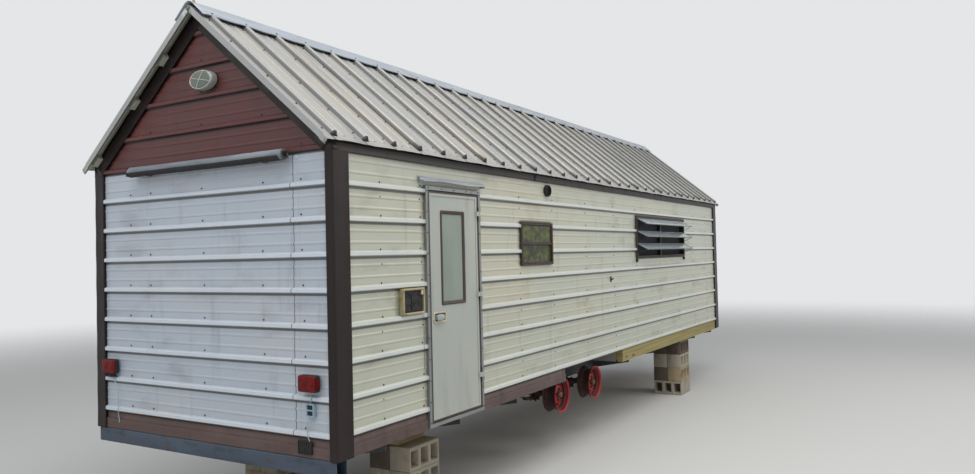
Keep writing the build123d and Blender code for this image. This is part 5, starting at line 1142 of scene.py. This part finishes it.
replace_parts(meshFrom("windowFrames", *joined(*frames), paint["frameAluminium"], "window_aluminium", outward=True),
    "window_frames")
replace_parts(meshFrom("paneGlassSheets", *joined(*[g for k, g in enumerate(glazing) if k % 5 > 1]), paint["paneGlass"],
    "window_glass", outward=True), "window_panes")
meshFrom("smallWindowGlass", *joined(*[g for k, g in enumerate(glazing) if k % 5 < 2]), paint["smallGlass"],
    "window_glass", outward=True)
meshFrom("paneRims", *joined(*paneRims), paint["doorAluminium"], "window_aluminium", outward=True)
meshFrom("paneArms", *joined(*arms), paint["gasketBlack"], "dark_plastic", outward=True)
meshFrom("windowScrews", *joined(screws(np.concatenate(flangePlaces[1]), outDoorSide, 0.0040),
    screws(np.concatenate(flangePlaces[-1]), outBackSide, 0.0040)),
         paint["boltSteel"], "window_aluminium", outward=True)
knob = turned([(0.024, 0.0004), (0.025, 0.002), (0.025, 0.012), (0.022, 0.0145), (0.014, 0.0150), (0.0135, 0.022),
    (0.011, 0.0245), (0, 0.025)], 20)
knobs = joined(*[mapped(knob, (x, 1.030, 0.0)) for x in (5.437, 7.385)])
meshFrom("awningKnobs", *joined(sideShape(knobs, 1), sideShape(knobs, -1)), paint["gasketBlack"], "dark_plastic",
    outward=True)
print("windows made")

# Fittings on the door side: a vent grille, a box with a chain hanging from it, and a hook
vent = {"at": (2.995, 1.741), "radius": 0.056, "deep": 0.0343}
rimShape = turned([(0, 0.0003), (0.0555, 0.0003), (0.056, 0.002), (0.056, 0.0225), (0.0545, 0.0245), (0.0545, 0.030),
    (0.053, 0.0335), (0.0485, 0.0343), (0.0465, 0.032),
                   (0.0465, 0.012), (0, 0.011)], 44)
slats = []
for k in range(6):
    up = -0.0375 + k * 0.015
    half = np.sqrt(0.0465 ** 2 - max(abs(up), abs(up + 0.008)) ** 2) - 0.0004
    lean = np.array([(0.0, 0.014), (0.0090, 0.0305), (0.0104, 0.0297), (0.0014, 0.0132)])
    slats.append(capped(np.stack([np.repeat([-half, half], 4), np.tile(lean[:, 0] + up - 0.004, 2), np.tile(lean[:, 1],
        2)], -1), gridFaces(2, 4, closeColumn=True), [(0, False), (4, True)], 4))
local = mapped(joined(rimShape, *slats), (*vent["at"], 0.0))
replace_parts(meshFrom("ventGrille", *sideShape(local), paint["gasketBlack"], "dark_plastic", outward=True), "round_vent")

box = {"low": (0.657, 0.730), "high": (0.914, 0.917), "frame": 0.015, "out": 0.042}
ring = ringFrame(box["low"], box["high"], [(0.0005, -0.0012), (0, 0.038), (0.0015, 0.0412), (0.005, 0.042),
    (0.011, 0.0418), (0.0145, 0.0400), (0.0150, 0.0360), (0.0155, 0.0310), (0.0155, -0.0012)], 0.006, 4)
(bx0, bz0), (bx1, bz1) = box["low"], box["high"]
back = pad((bx0 + 0.0150, bz0 + 0.0150), (bx1 - 0.0150, bz1 - 0.0150), [(0, -0.0010), (0, 0.0270)], 0.002)
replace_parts(meshFrom("sideBoxFrame", *sideShape(ring), paint["boxBrass"], "grey_plastic", outward=True), "side_box")
parts = [back, brick((bx0 + 0.020, bz0 + 0.024, 0.026), (bx0 + 0.094, bz1 - 0.070, 0.034), 0.002, 0.004),
    brick((bx0 + 0.104, bz0 + 0.030, 0.026), (bx0 + 0.178, bz1 - 0.040, 0.0325), 0.002, 0.006),
         brick((bx0 + 0.030, bz1 - 0.056, 0.026), (bx0 + 0.080, bz1 - 0.026, 0.0320), 0.002, 0.003)]
for x in (0.126, 0.156):
    parts.append(mapped(turned([(0.011, 0), (0.0115, 0.003), (0.008, 0.0055), (0, 0.006)], 16), (bx0 + x, bz0 + 0.085,
        0.032)))
loops = [smoothPath(p, 26) for p in ([(bx0 + 0.03, bz0 + 0.03, 0.035), (bx0 + 0.07, bz0 + 0.075, 0.037),
    (bx0 + 0.11, bz0 + 0.05, 0.036), (bx0 + 0.16, bz0 + 0.10, 0.0365), (bx0 + 0.20, bz0 + 0.06, 0.034)],
                                     [(bx0 + 0.05, bz1 - 0.03, 0.034), (bx0 + 0.10, bz1 - 0.055, 0.037),
                                     (bx0 + 0.17, bz1 - 0.030, 0.0365), (bx0 + 0.215, bz1 - 0.065, 0.034)])]
parts += [wire(p, 0.0024, 7, up=(0, 0, 1)) for p in loops]
meshFrom("sideBoxInside", *sideShape(joined(*parts)), paint["gasketBlack"], "dark_plastic", outward=True)
meshFrom("sideBoxHinge", *sideShape(brick((bx1 - 0.040, bz1 - 0.052, 0.0265), (bx1 - 0.0165, bz1 - 0.0165, 0.0400),
    0.002, 0.003)), paint["latchCream"], "grey_plastic", outward=True)

angle = np.arange(10) * 2 * np.pi / 10
oval = np.stack([0.0022 * np.cos(angle), 0.0042 * np.sin(angle) + 0.0018 * np.sign(np.sin(angle)), 0 * angle], -1)
link = wire(oval, 0.0007, 4, closed=True)
turnOf = np.array([np.eye(3), np.array([[0, 0, 1], [0, 1, 0], [-1, 0, 0]], float)])
drop = np.arange(0, 0.418, 0.0088)
places = np.stack([0.9165 + 0.0025 * np.sin(drop * 9), 0.744 - drop, 0.0205 + 0.012 * np.exp(-drop * 30)], -1)
links = copies(link, places, turnOf[np.arange(len(drop)) % 2])
peg = mapped(turned([(0.0030, 0), (0.0030, 0.010), (0.0045, 0.011), (0.0045, 0.013), (0, 0.0135)], 8), (0.9165, 0.748,
    0.019))
meshFrom("boxChain", *sideShape(joined(links, peg)), paint["boltSteel"], "galvanised_steel", outward=True)
hook = smoothPath([(4.579, 0.834, 0.0040), (4.579, 0.831, 0.016), (4.579, 0.833, 0.026), (4.579, 0.846, 0.033)], 16)
plateHook = brick((4.561, 0.802, 0.0004), (4.597, 0.866, 0.0075), 0.002, 0.012, 5)
meshFrom("wallHook", *sideShape(joined(wire(hook, 0.0070, 10, up=(1, 0, 0)), plateHook)), paint["gasketBlack"],
    "dark_plastic", outward=True)
print("wall fittings made")

# Screws: beside each rib of the walls in columns at the studs, and up the roof's pans at the purlins
columns = np.array([0.467, 0.928, 1.289, 1.643, 2.439, 3.110, 3.902, 4.696, 5.419, 6.334, 7.125, 7.880, 8.560])
bays = np.arange(8) * wallRib["pitch"] + 0.055


def wallScrews(side, holes):
    x, z = (a.ravel() for a in np.meshgrid(columns, np.concatenate([bays, bays[::2] + 0.128])))
    x = x + 0.006 * np.sin(37 * z + 11 * x)
    z = z + 0.0035 * np.sin(23 * x)
    clear = np.ones(len(x), bool)
    for x0, x1, z0, z1 in [cuts[h] for h in holes]:
        clear &= ~((x > x0 - 0.02) & (x < x1 + 0.02) & (z > z0 - 0.02) & (z < z1 + 0.03))
    clear &= ~((np.hypot(x - vent["at"][0], z - vent["at"][1]) < 0.075) & (side > 0)) & (z < 1.80)
    return onSide(x[clear], 0.0008, z[clear], side)


def endScrews(end):
    y, z = (a.ravel() for a in np.meshgrid([0.262, 0.62, 1.219, 1.80, 2.044], np.arange(13) * wallRib["pitch"] + 0.058))
    y = y + 0.008 * np.sin(31 * z + 5 * y)
    top = house["seat"] + np.minimum(y, house["wide"] - y) * house["pitch"] - 0.19
    clear = (z < top) & (np.hypot(y - 1.150, z - 2.4378) > 0.11)
    clear &= ~((np.abs(y - 0.196) < 0.10) & (np.abs(z - 0.352) < 0.09)) & ~((np.abs(z - 1.836) < 0.06) & (y > 0.33) & (y < 2.09))
    return onEnd(y[clear], 0.0008, z[clear], end)


parts = [screws(wallScrews(1, ["door", "small", "awning", "box"]), outDoorSide),
    screws(wallScrews(-1, ["small", "awning"]), outBackSide),
         screws(endScrews(1), outTail), screws(endScrews(-1), outHitch)]
meshFrom("wallScrews", *joined(*parts), paint["screwSteel"], "cream_steel", outward=True)


def roofScrews(side):
    x = (np.arange(-1, 30)[:, None] * roofRib["pitch"] + np.array([0.052, roofRib["pitch"] - 0.052])).ravel()
    x = x[(x > -0.06) & (x < house["long"] + 0.06)]
    s = np.array([0.046, 0.330, 0.664, 1.104, 1.390])
    xx, ss = (a.ravel() for a in np.meshgrid(x, s))
    return onRoof(xx + 0.004 * np.sin(41 * xx + 7 * ss), ss + 0.006 * np.sin(29 * xx), 0.0018, side)


meshFrom("roofScrews", *joined(screws(roofScrews(1), outRoofDoor, 0.0062), screws(roofScrews(-1), outRoofBack, 0.0062)),
    paint["screwSteel"], "galvanised_steel", outward=True)


# The overlapping edge of each sheet: a strip over one rib, a little proud of the sheet below.
def roofLaps(side):
    parts = []
    s = np.linspace(-roof["eave"] / slopeCos + roof["stop"] + 0.002, slopeLong - roof["ridgeGap"] - 0.004, 16)
    for k in range(1, 10):
        at = k * roof["sheetCover"]
        xs = np.array([-0.031, -0.0245, -0.018, -0.012, 0.0, 0.012, 0.018, 0.0245, 0.031, 0.037, 0.0385])
        x, ss = np.meshgrid(at + xs, s)
        n = ribRise(x, roofRib) + 0.0032 + 0.0008 * np.sin(13 * ss + k)
        n[:, -1] -= 0.0018
        points = onRoof(x, ss, n, side).reshape(-1, 3)
        parts.append(facing((points, gridFaces(*x.shape)), (0, -side * slopeSin, slopeCos)))
    return joined(*parts)


solidify(meshFrom("roofLaps", *joined(roofLaps(1), roofLaps(-1)), paint["roofZinc"], "galvanised_steel"), 0.0008)


# Each major rib's end: its sheet folded down to the drip edge, painted near-black as the shade inside the rib's open
# end.
def ribStops(side):
    at = np.arange(0, 31) * roofRib["pitch"]
    s0 = -roof["eave"] / slopeCos + roof["stop"]
    cross = np.array([-0.031, -0.0185, -0.012, 0.012, 0.0185, 0.031])
    rise = np.array([0.0, 0.0165, 0.030, 0.030, 0.0165, 0.0])
    x, k = np.meshgrid(cross, np.arange(3))
    n = rise[None] * np.array([1.0, 0.62, 0.0])[:, None] + 0.0022
    s = s0 - np.array([0.0, 0.012, 0.020])[:, None] + 0 * x
    one = onRoof(x, s, n, side) - onRoof(0.0, 0.0, 0.0, side)
    shape = facing((one.reshape(-1, 3), gridFaces(3, 6)), (0, -side, 0.2))
    return copies(shape, onRoof(at, 0.0, 0.0, side))


solidify(meshFrom("roofRibEnds", *joined(ribStops(1), ribStops(-1)), paint["seamAndShadeDark"], "galvanised_steel"), 0.0008)


# Over the ridge: screws through both legs, and lap collars at the cap's joints.
def capFittings():
    parts = []
    for side, turn in ((1, outRoofDoor), (-1, outRoofBack)):
        x = np.arange(0, 31) * roofRib["pitch"]
        parts.append(screws(onRoof(x + 0.003 * np.sin(9 * x), slopeLong - 0.140, 0.0336, side), turn, 0.0062))
    return joined(*parts)


meshFrom("ridgeScrews", *capFittings(), paint["screwSteel"], "galvanised_steel", outward=True)
laps = []
for joint in (3.05, 6.10):
    across = np.array([-0.1685, -0.160, -0.08, -0.012, 0.0, 0.012, 0.08, 0.160, 0.1685])
    x, a = np.meshgrid(joint + np.array([-0.006, -0.0045, 0.03, 0.06]), across)
    n = 0.0352 - 0.004 * (a == 0) - 0.0014 * (x < joint - 0.005) - 0.0015 * (np.abs(a) > 0.165)
    s = slopeLong - np.abs(a)
    points = np.where((a < 0)[..., None], onRoof(x, s, n, 1), onRoof(x, s, n, -1))
    points = np.where((a == 0)[..., None], (onRoof(x, s, n, 1) + onRoof(x, s, n, -1)) / 2, points)
    laps.append(facing((points.reshape(-1, 3), gridFaces(*x.shape)), (0, 0, 1)))
solidify(meshFrom("ridgeLaps", *joined(*laps), paint["capZinc"], "galvanised_steel"), 0.0009)
bent = [(0.0, 0.0), (0.004, 0.018), (0.016, 0.040), (0.011, 0.066), (-0.010, 0.082)]
bent = smoothPath([(0, *p) for p in bent], 20)[:, 1:]
flap = np.stack([np.repeat([-0.012, 0.012], 20), np.tile(bent[:, 0], 2), np.tile(bent[:, 1], 2)], -1)
place = onRoof(-roof["rake"] + 0.030, slopeLong - 0.010, 0.030, 1)
solidify(meshFrom("apexStrip", place + flap * np.array([1, 1, 0.9]), gridFaces(2, 20), paint["sawnTimber"],
    "galvanised_steel"), 0.0012)
print("screws and laps made")

# Wheels: a smooth pressed rim, a slotted disc, lug nuts, and a hub with its drum and cap, each set on its own body
gear = {"x": {"tail": -1.549, "hitch": -0.691}, "y": -0.969, "z": 0.580, "slots": 6, "nuts": 5, "nutCircle": 0.0572,
    "springY": -0.714, "springZ": 0.546,
        "arcR": 1.2067, "eyeZ": 0.605, "railLow": 0.635, "hangers": (-1.879, -1.120, -0.361), "half": 0.330,
        "leaf": 0.009}
outerHalf = [(0.1778, -0.0712), (0.1800, -0.0728), (0.1824, -0.0722), (0.1830, -0.0702), (0.1790, -0.0672),
    (0.1700, -0.0638), (0.1655, -0.0600), (0.1650, -0.0560),
             (0.1650, -0.0400), (0.1620, -0.0350), (0.1460, -0.0290), (0.1410, -0.0260), (0.1400, -0.0220)]
innerHalf = [(0.1740, -0.0690), (0.1620, -0.0632), (0.1600, -0.0580), (0.1600, -0.0420), (0.1570, -0.0385),
    (0.1400, -0.0315), (0.1355, -0.0280), (0.1350, -0.0220)]
faceProfile = [(0.1834, -0.0690), (0.1837, -0.0703), (0.1828, -0.0729), (0.1800, -0.0735), (0.1775, -0.0719),
    (0.1738, -0.0697), (0.1616, -0.0639),
               (0.1594, -0.0582), (0.1594, -0.0418), (0.1566, -0.0379), (0.1397, -0.0309), (0.1349, -0.0274)]
rimProfile = outerHalf + [(r, -h) for r, h in reversed(outerHalf)] + [(r, -h) for r,
    h in innerHalf] + list(reversed(innerHalf))
drumProfile = [(0, 0.0182), (0.060, 0.0182), (0.100, 0.0184), (0.1095, 0.0190), (0.1120, 0.0215), (0.1120, 0.0240),
    (0.1100, 0.0255), (0.1100, 0.0300), (0.1120, 0.0315),
               (0.1120, 0.0350), (0.1100, 0.0365), (0.1100, 0.0410), (0.1120, 0.0425), (0.1120, 0.0540),
               (0.1100, 0.0560), (0, 0.0560)]
capProfile = [(0.0335, 0.0190), (0.0335, -0.0380), (0.0342, -0.0395), (0.0342, -0.0440), (0.0325, -0.0455),
    (0.0315, -0.0500), (0.0285, -0.0570), (0.0240, -0.0605),
              (0.0180, -0.0618), (0, -0.0620)]


# The dished disc with a ring of slots, a raised nut circle and a rolled seat at the rim.
def discShape():
    r = np.array([0.0346, 0.0370, 0.0440, 0.0480, 0.0520, 0.0620, 0.0660, 0.0700, 0.0760, 0.0840, 0.0920, 0.0960,
        0.1160, 0.1200, 0.1260, 0.1300, 0.1346])
    h = np.array([-0.0240, -0.0258, -0.0262, -0.0275, -0.0290, -0.0290, -0.0275, -0.0250, -0.0215, -0.0190, -0.0165,
        -0.0152, -0.0090, -0.0075, -0.0055, -0.0048, -0.0100])
    segments = 96
    angle = np.arange(segments) * 2 * np.pi / segments
    points = np.stack([r[:, None] * np.cos(angle), r[:, None] * np.sin(angle), h[:, None] + 0 * angle], -1).reshape(-1,
        3)
    keep = np.ones((len(r) - 1, segments), bool)
    within = (np.arange(segments) % (segments // gear["slots"])) < 7
    keep[11, within] = False
    return facing((points, gridFaces(len(r), segments, keep, closeColumn=True)), (0, 0, -1))


# A shape turned about a wheel's axle: (along x, up, inboard) to the world.
def gearShape(shape, x, side, z=None):
    points, faces = shape
    return np.stack([x + points[:, 0], side * (gear["y"] + points[:, 2]), (gear["z"] if z is None else z) + points[:,
        1]], -1), faces


nut = turned([(0.0118, -0.0275), (0.0118, -0.0325), (0.0100, -0.0335), (0.0098, -0.0430), (0.0080, -0.0455),
    (0.0050, -0.0460), (0, -0.0455)], 6)
stud = turned([(0.0048, -0.040), (0.0048, -0.0500), (0.0040, -0.0508), (0, -0.0508)], 8)
turnsAt = 0.4 + np.arange(gear["nuts"]) * 2 * np.pi / gear["nuts"]
nutRing = copies(joined(nut, stud), np.stack([gear["nutCircle"] * np.cos(turnsAt), gear["nutCircle"] * np.sin(turnsAt),
    0 * turnsAt], -1))
for endName, x in gear["x"].items():
    for sideName, side in (("door", 1), ("back", -1)):
        body = f"wheel_{endName}_{sideName}_side_set"
        label = endName.capitalize() + sideName.capitalize()
        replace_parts(meshFrom("rim" + label, *gearShape(turned(rimProfile, 72, closed=True), x, side),
            paint["barrelRust"], "wheel_paint", body=body, outward=True),
                    f"wheel_{endName}_{sideName}_side")
        face = facing(gearShape(turned(faceProfile, 72), x, side), (0, -side, 0))
        solidify(meshFrom("face" + label, *face, paint["wheelRed"], "wheel_paint", body=body), 0.0005)
        disc = gearShape(discShape(), x, side)
        solidify(meshFrom("disc" + label, *facing(disc, (0, -side, 0)), paint["wheelRed"], "wheel_paint", body=body),
            0.0050)
        meshFrom("nuts" + label, *gearShape(nutRing, x, side), paint["springRust"], "hub_iron", body=body, outward=True)
        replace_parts(meshFrom("drum" + label, *gearShape(turned(drumProfile, 64), x, side), paint["springRust"],
            "hub_iron", body=body, outward=True),
                    f"hub_{endName}_{sideName}_side")
        meshFrom("cap" + label, *gearShape(turned([(0, 0.0190)] + capProfile, 40), x, side), paint["hubCream"],
            "hub_iron", body=body, outward=True)

# Axles, leaf packs with their straps, and hangers with the equalizers
axleHalf = [(0, 1.021), (0.0180, 1.021), (0.0190, 1.019), (0.0190, 0.9070), (0.1145, 0.9070), (0.1160, 0.9055),
    (0.1160, 0.9020), (0.1135, 0.9005), (0.0950, 0.9000),
            (0.0900, 0.8975), (0.0480, 0.8975), (0.0420, 0.8960), (0.0400, 0.8860), (0.0300, 0.8830)]
axleProfile = axleHalf + [(0.0300, y) for y in (0.45, 0.0, -0.45)] + [(r, -y) for r, y in reversed(axleHalf)]
axleShapes = []
for x in gear["x"].values():
    points, faces = turned(axleProfile, 40)
    axleShapes.append((np.stack([x + points[:, 0], points[:, 2], gear["z"] + points[:, 1]], -1), faces))
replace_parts(meshFrom("axleTubes", *joined(*axleShapes), paint["springRust"], "spring_steel", outward=True), "axles")

bevelled = np.array([(-0.0225, -0.0032), (-0.0212, -0.0043), (0.0212, -0.0043), (0.0225, -0.0032), (0.0225, 0.0032),
    (0.0212, 0.0043), (-0.0212, 0.0043), (-0.0225, 0.0032)])


# Three arched leaves with clips, eyes on the longest, a centre plate and two straps over the axle.
def leafPack(x, side):
    y, z, r, parts = side * gear["springY"], gear["springZ"], gear["arcR"], []
    for number in range(3):
        half = gear["half"] * (1 - 0.27 * number) - 0.004
        a = np.linspace(-half, half, 27) / r
        reach = r + gear["leaf"] * (number + 0.5)
        arc = np.stack([x + reach * np.sin(a), 0 * a + y, z + r - reach * np.cos(a)], -1)
        parts.append(alongPath(arc, bevelled))
    for end in (-1, 1):
        eye = turned([(0.0085, -0.0225), (0.0160, -0.0225), (0.0170, -0.0215), (0.0170, 0.0215), (0.0160, 0.0225),
            (0.0085, 0.0225)], 24, closed=True)
        parts.append((np.stack([x + end * gear["half"] + eye[0][:, 0], y + eye[0][:, 2], gear["eyeZ"] + eye[0][:, 1]],
            -1), eye[1]))
        a = end * 0.205 / r
        clip = np.array([x + (r + 0.0135) * np.sin(a), y, z + r - (r + 0.0135) * np.cos(a)])
        parts.append(brick(clip - [0.012, 0.0262, 0.0150], clip + [0.012, 0.0262, 0.0150], 0.001, 0.001))
    low = z - 3 * gear["leaf"]
    parts.append(brick((x - 0.047, y - 0.0375, low - 0.0095), (x + 0.047, y + 0.0375, low - 0.0004), 0.0015, 0.002))
    parts.append(brick((x - 0.038, y - 0.0225, z + 0.0002), (x + 0.038, y + 0.0225, z + 0.0060), 0.001, 0.001))
    bow = np.linspace(np.pi, 0, 13)
    for dy in (-0.0295, 0.0295):
        loop = np.concatenate([[(-0.0365, low - 0.022)], [(-0.0365, low + 0.010)], np.stack([0.0365 * np.cos(bow),
            gear["z"] + 0.0365 * np.sin(bow)], -1),
                               [(0.0365, low + 0.010)], [(0.0365, low - 0.022)]])
        parts.append(wire(np.stack([x + loop[:, 0], 0 * loop[:, 0] + y + dy, loop[:, 1]], -1), 0.0058, 10,
            up=(0, 1, 0)))
        parts += [mapped(turned([(0, 0), (0.0105, 0), (0.0105, 0.009), (0.009, 0.010), (0, 0.010)], 6), (x + dx, y + dy,
            low - 0.0195)) for dx in (-0.0365, 0.0365)]
    return joined(*parts)


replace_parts(meshFrom("leafPacks", *joined(*[leafPack(x, side) for x in gear["x"].values() for side in (1, -1)]),
    paint["springRust"], "spring_steel", outward=True),
            "leaf_springs")


# Two cheeks under a seat plate with the eye bolt through them; the middle one carries the rocker.
def hangerShape(x, side, middle):
    y, top, eye, parts = side * gear["springY"], gear["railLow"], gear["eyeZ"], []
    low = np.linspace(0, np.pi, 9)
    cheek = [(-0.026, top), (-0.026, eye + 0.004)] + [(-0.0215 * np.cos(a),
        eye - 0.0195 * np.sin(a)) for a in low] + [(0.026, eye + 0.004), (0.026, top)]
    beam = [(-0.117 - 0.0135 * np.sin(a), -0.0135 * np.cos(a)) for a in np.linspace(0, np.pi, 9)][::-1] + [(0,
        -0.022)] + [(0.117 + 0.0135 * np.sin(a), -0.0135 * np.cos(a)) for a in np.linspace(0, np.pi, 9)] + [(0, 0.022)]
    for out in (0.0229, -0.0289):
        plate = plateOf(cheek, out, out + 0.006)
        parts.append((np.stack([x + plate[0][:, 0], y + plate[0][:, 2], plate[0][:, 1]], -1), plate[1]))
        if middle:
            plate = plateOf(beam, out + (0.0062 if out > 0 else -0.0062),
                out + 0.006 + (0.0062 if out > 0 else -0.0062))
            parts.append((np.stack([x + plate[0][:, 0], y + plate[0][:, 2], eye + plate[0][:, 1]], -1), plate[1]))
    parts.append(brick((x - 0.034, y - 0.033, top - 0.0065), (x + 0.034, y + 0.033, top - 0.0003), 0.001, 0.002))
    for bolt in ([x - 0.099, x, x + 0.099] if middle else [x]):
        reach = 0.0352 if middle else 0.0290
        parts += [(np.stack([bolt + p[:, 0], y + p[:, 2], eye + p[:, 1]], -1), f) for p, f in
                  [turned([(0, -reach - 0.0085), (0.0105, -reach - 0.0085), (0.0120, -reach - 0.0070), (0.0120, -reach),
                  (0.0078, -reach), (0.0078, reach), (0.0120, reach),
                           (0.0120, reach + 0.0080), (0.0105, reach + 0.0090), (0.006, reach + 0.0090),
                           (0.006, reach + 0.0130), (0, reach + 0.0130)], 6)]]
    return joined(*parts)


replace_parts(meshFrom("springHangers", *joined(*[hangerShape(x, side, k == 1) for k,
    x in enumerate(gear["hangers"]) for side in (1, -1)]),
                     paint["frameSteel"], "spring_steel", outward=True), "spring_hangers")
print("running gear made")

# Piers: dry-laid hollow blocks in pairs, their cores level
pier = {"long": 0.397, "high": 0.1905, "gap": 0.0016, "deep": 0.1962, "core": (0.096, 0.128), "hitch": (1.953, -1.219,
    4), "tail": (-4.017, -0.9125, 3)}


# A block's face with its three cores left out, ready to be thickened to the block's depth.
def blockShape(x, y, z, turnedRound, half, seed):
    wide, high = pier["core"]
    middle = (np.arange(3) - 1) * pier["long"] / 3 + pier["long"] / 2
    a = np.unique(np.round(np.concatenate([[0.0, pier["long"]], middle - wide / 2, middle + wide / 2, middle,
        middle - wide / 2 - 0.009, middle + wide / 2 + 0.009]), 5))
    bed = pier["high"] - pier["gap"]
    b = np.unique(np.round(np.array([0.0, 0.014, (bed - high) / 2, bed / 2, (bed + high) / 2, bed - 0.014, bed]), 5))
    aa, bb = np.meshgrid(a, b)
    ca, cb = (aa[:-1, :-1] + aa[1:, 1:]) / 2, (bb[:-1, :-1] + bb[1:, 1:]) / 2
    keep = ~((np.abs(ca[..., None] - middle).min(-1) < wide / 2) & (np.abs(cb - bed / 2) < high / 2))
    rough = 0.0009 * np.sin(53 * aa + 31 * bb + 3 * seed)
    aa, bb = aa + rough * (aa > 0.01) * (aa < 0.38), bb + rough * (bb > 0.01) * (bb < 0.17)
    depth = half * (pier["deep"] + 0.0042) + 0.0001
    if turnedRound:
        points = np.stack([0 * aa + x + depth, y + aa, z + bb], -1)
    else:
        points = np.stack([x + aa, 0 * aa + y + depth, z + bb], -1)
    return facing((points.reshape(-1, 3), gridFaces(len(b), len(a), keep)), (-1, 0, 0) if turnedRound else (0, -1, 0))


blocks = {"blockConcrete": [], "blockTan": [], "blockDark": []}
for name, (x, y, courses) in (("hitch", pier["hitch"]), ("tail", pier["tail"])):
    for mirror in (1, -1):
        for level in range(courses):
            for half in (0, 1):
                rounded = name == "hitch" and level == 0
                y0 = y if mirror > 0 else -y - pier["long"]
                key = "blockConcrete"
                if name == "hitch" and level == 1:
                    key = "blockTan" if half == 0 else "blockDark"
                if (name == "hitch" and level == 3) or (name == "tail" and level == 2 and half):
                    key = "blockDark"
                if name == "tail" and level == 0:
                    key = "blockTan" if half else "blockConcrete"
                blocks[key].append(blockShape(x, y0, level * pier["high"] + 0.0002, rounded, half,
                    level * 5 + half + mirror))
for key, shapes in blocks.items():
    made = solidify(meshFrom("pier" + key[0].upper() + key[1:], *joined(*shapes), paint[key], "concrete", sharp=30),
        pier["deep"])
    made.modifiers.new("worn", "BEVEL").width = 0.0028
    made.modifiers["worn"].segments = 1
    made.modifiers["worn"].limit_method = "ANGLE"
    if key == "blockConcrete":
        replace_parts(made, "block_piers")
print("piers made")

# Floor, light and camera
view = {"place": (-8.822, -4.530, 2.045), "yaw": 30.882, "pitch": 1.33, "roll": -1.338, "lens": 28.51,
        "floor": (200, 200, 198), "back": (0.78, 0.79, 0.80), "ambient": 0.50}


def stageFloor():
    ring = np.array([0, 8, 16, 30, 60, 110.0])
    angle = np.arange(48) * 2 * np.pi / 48
    points = np.stack([ring[:, None] * np.cos(angle), ring[:, None] * np.sin(angle), np.full((6, 48), -0.0005)], -1)
    data = bpy.data.meshes.new("floor")
    data.from_pydata(points.reshape(-1, 3).tolist(), [], gridFaces(6, 48, closeColumn=True).tolist())
    made = bpy.data.objects.new("floor", data)
    bpy.context.scene.collection.objects.link(made)
    material = bpy.data.materials.new("paleFloor")
    material.use_nodes = True
    tree = material.node_tree
    shader = tree.nodes["Principled BSDF"]
    shader.inputs["Base Color"].default_value = rgba(view["floor"])
    shader.inputs["Roughness"].default_value = 0.9
    at = addNode(tree, "TexCoord").outputs["Object"]
    away = addNode(tree, "VectorMath", {0: at}, operation="LENGTH").outputs["Value"]
    fade = addNode(tree, "MapRange", {"Value": away, "From Min": 8.5, "From Max": 24.0},
        interpolation_type="SMOOTHSTEP").outputs[0]
    clear = addNode(tree, "BsdfTransparent")
    mix = addNode(tree, "MixShader", {0: fade, 1: shader.outputs[0], 2: clear.outputs[0]})
    tree.links.new(mix.outputs[0], tree.nodes["Material Output"].inputs["Surface"])
    data.materials.append(material)


def areaLight(name, place, target, size, power, colour):
    lamp = bpy.data.lights.new(name, "AREA")
    lamp.shape, lamp.size, lamp.size_y, lamp.energy, lamp.color = "RECTANGLE", size[0], size[1], power, colour
    made = bpy.data.objects.new(name, lamp)
    made.location = place
    made.rotation_euler = (Vector(target) - Vector(place)).to_track_quat("-Z", "Y").to_euler()
    bpy.context.scene.collection.objects.link(made)


def worldLight():
    world = bpy.data.worlds.new("studio")
    bpy.context.scene.world = world
    world.use_nodes = True
    tree = world.node_tree
    tree.nodes.clear()
    path = addNode(tree, "LightPath")
    seen = addNode(tree, "Math", {0: path.outputs["Is Camera Ray"], 1: path.outputs["Is Transmission Ray"]},
        operation="MAXIMUM").outputs[0]
    seen = addNode(tree, "Math", {0: seen, 1: path.outputs["Is Glossy Ray"]}, operation="MAXIMUM").outputs[0]
    plain = addNode(tree, "Background", {"Color": (*view["back"], 1), "Strength": 1.0})
    soft = addNode(tree, "Background", {"Color": (0.93, 0.96, 1.0, 1), "Strength": view["ambient"]})
    mix = addNode(tree, "MixShader", {0: seen, 1: soft.outputs[0], 2: plain.outputs[0]})
    addNode(tree, "OutputWorld", {"Surface": mix.outputs[0]})


stageFloor()
worldLight()
areaLight("overhead", (-5.5, -4.2, 9.5), (-3.0, -1.2, 1.0), (9, 6), 660, (1.0, 0.985, 0.96))
areaLight("endFill", (-10.5, 0.5, 7.0), (-5.0, 0.0, 1.8), (5, 4), 150, (0.93, 0.96, 1.0))
areaLight("farFill", (4.0, -8.5, 6.5), (1.5, -1.2, 1.8), (5, 4), 210, (1.0, 0.97, 0.92))

camera = bpy.data.objects.new("camera", bpy.data.cameras.new("camera"))
bpy.context.scene.collection.objects.link(camera)
camera.data.lens, camera.data.sensor_width, camera.data.sensor_fit = view["lens"], 36.0, "HORIZONTAL"
camera.data.clip_start, camera.data.clip_end = 0.05, 400.0
yaw, pitch, roll = np.radians([view["yaw"], view["pitch"], view["roll"]])
ahead = np.array([np.cos(yaw) * np.cos(pitch), np.sin(yaw) * np.cos(pitch), np.sin(pitch)])
level = np.array([np.sin(yaw), -np.cos(yaw), 0.0])
upright = np.cross(level, ahead)
right = np.cos(roll) * level + np.sin(roll) * upright
up = -np.sin(roll) * level + np.cos(roll) * upright
camera.matrix_world = Matrix([[*row, place] for row, place in zip(np.stack([right, up, -ahead], 1),
    view["place"])] + [[0, 0, 0, 1]])
bpy.context.scene.camera = camera
bpy.context.scene.view_settings.view_transform = "Standard"
print("floor, light and camera ready")
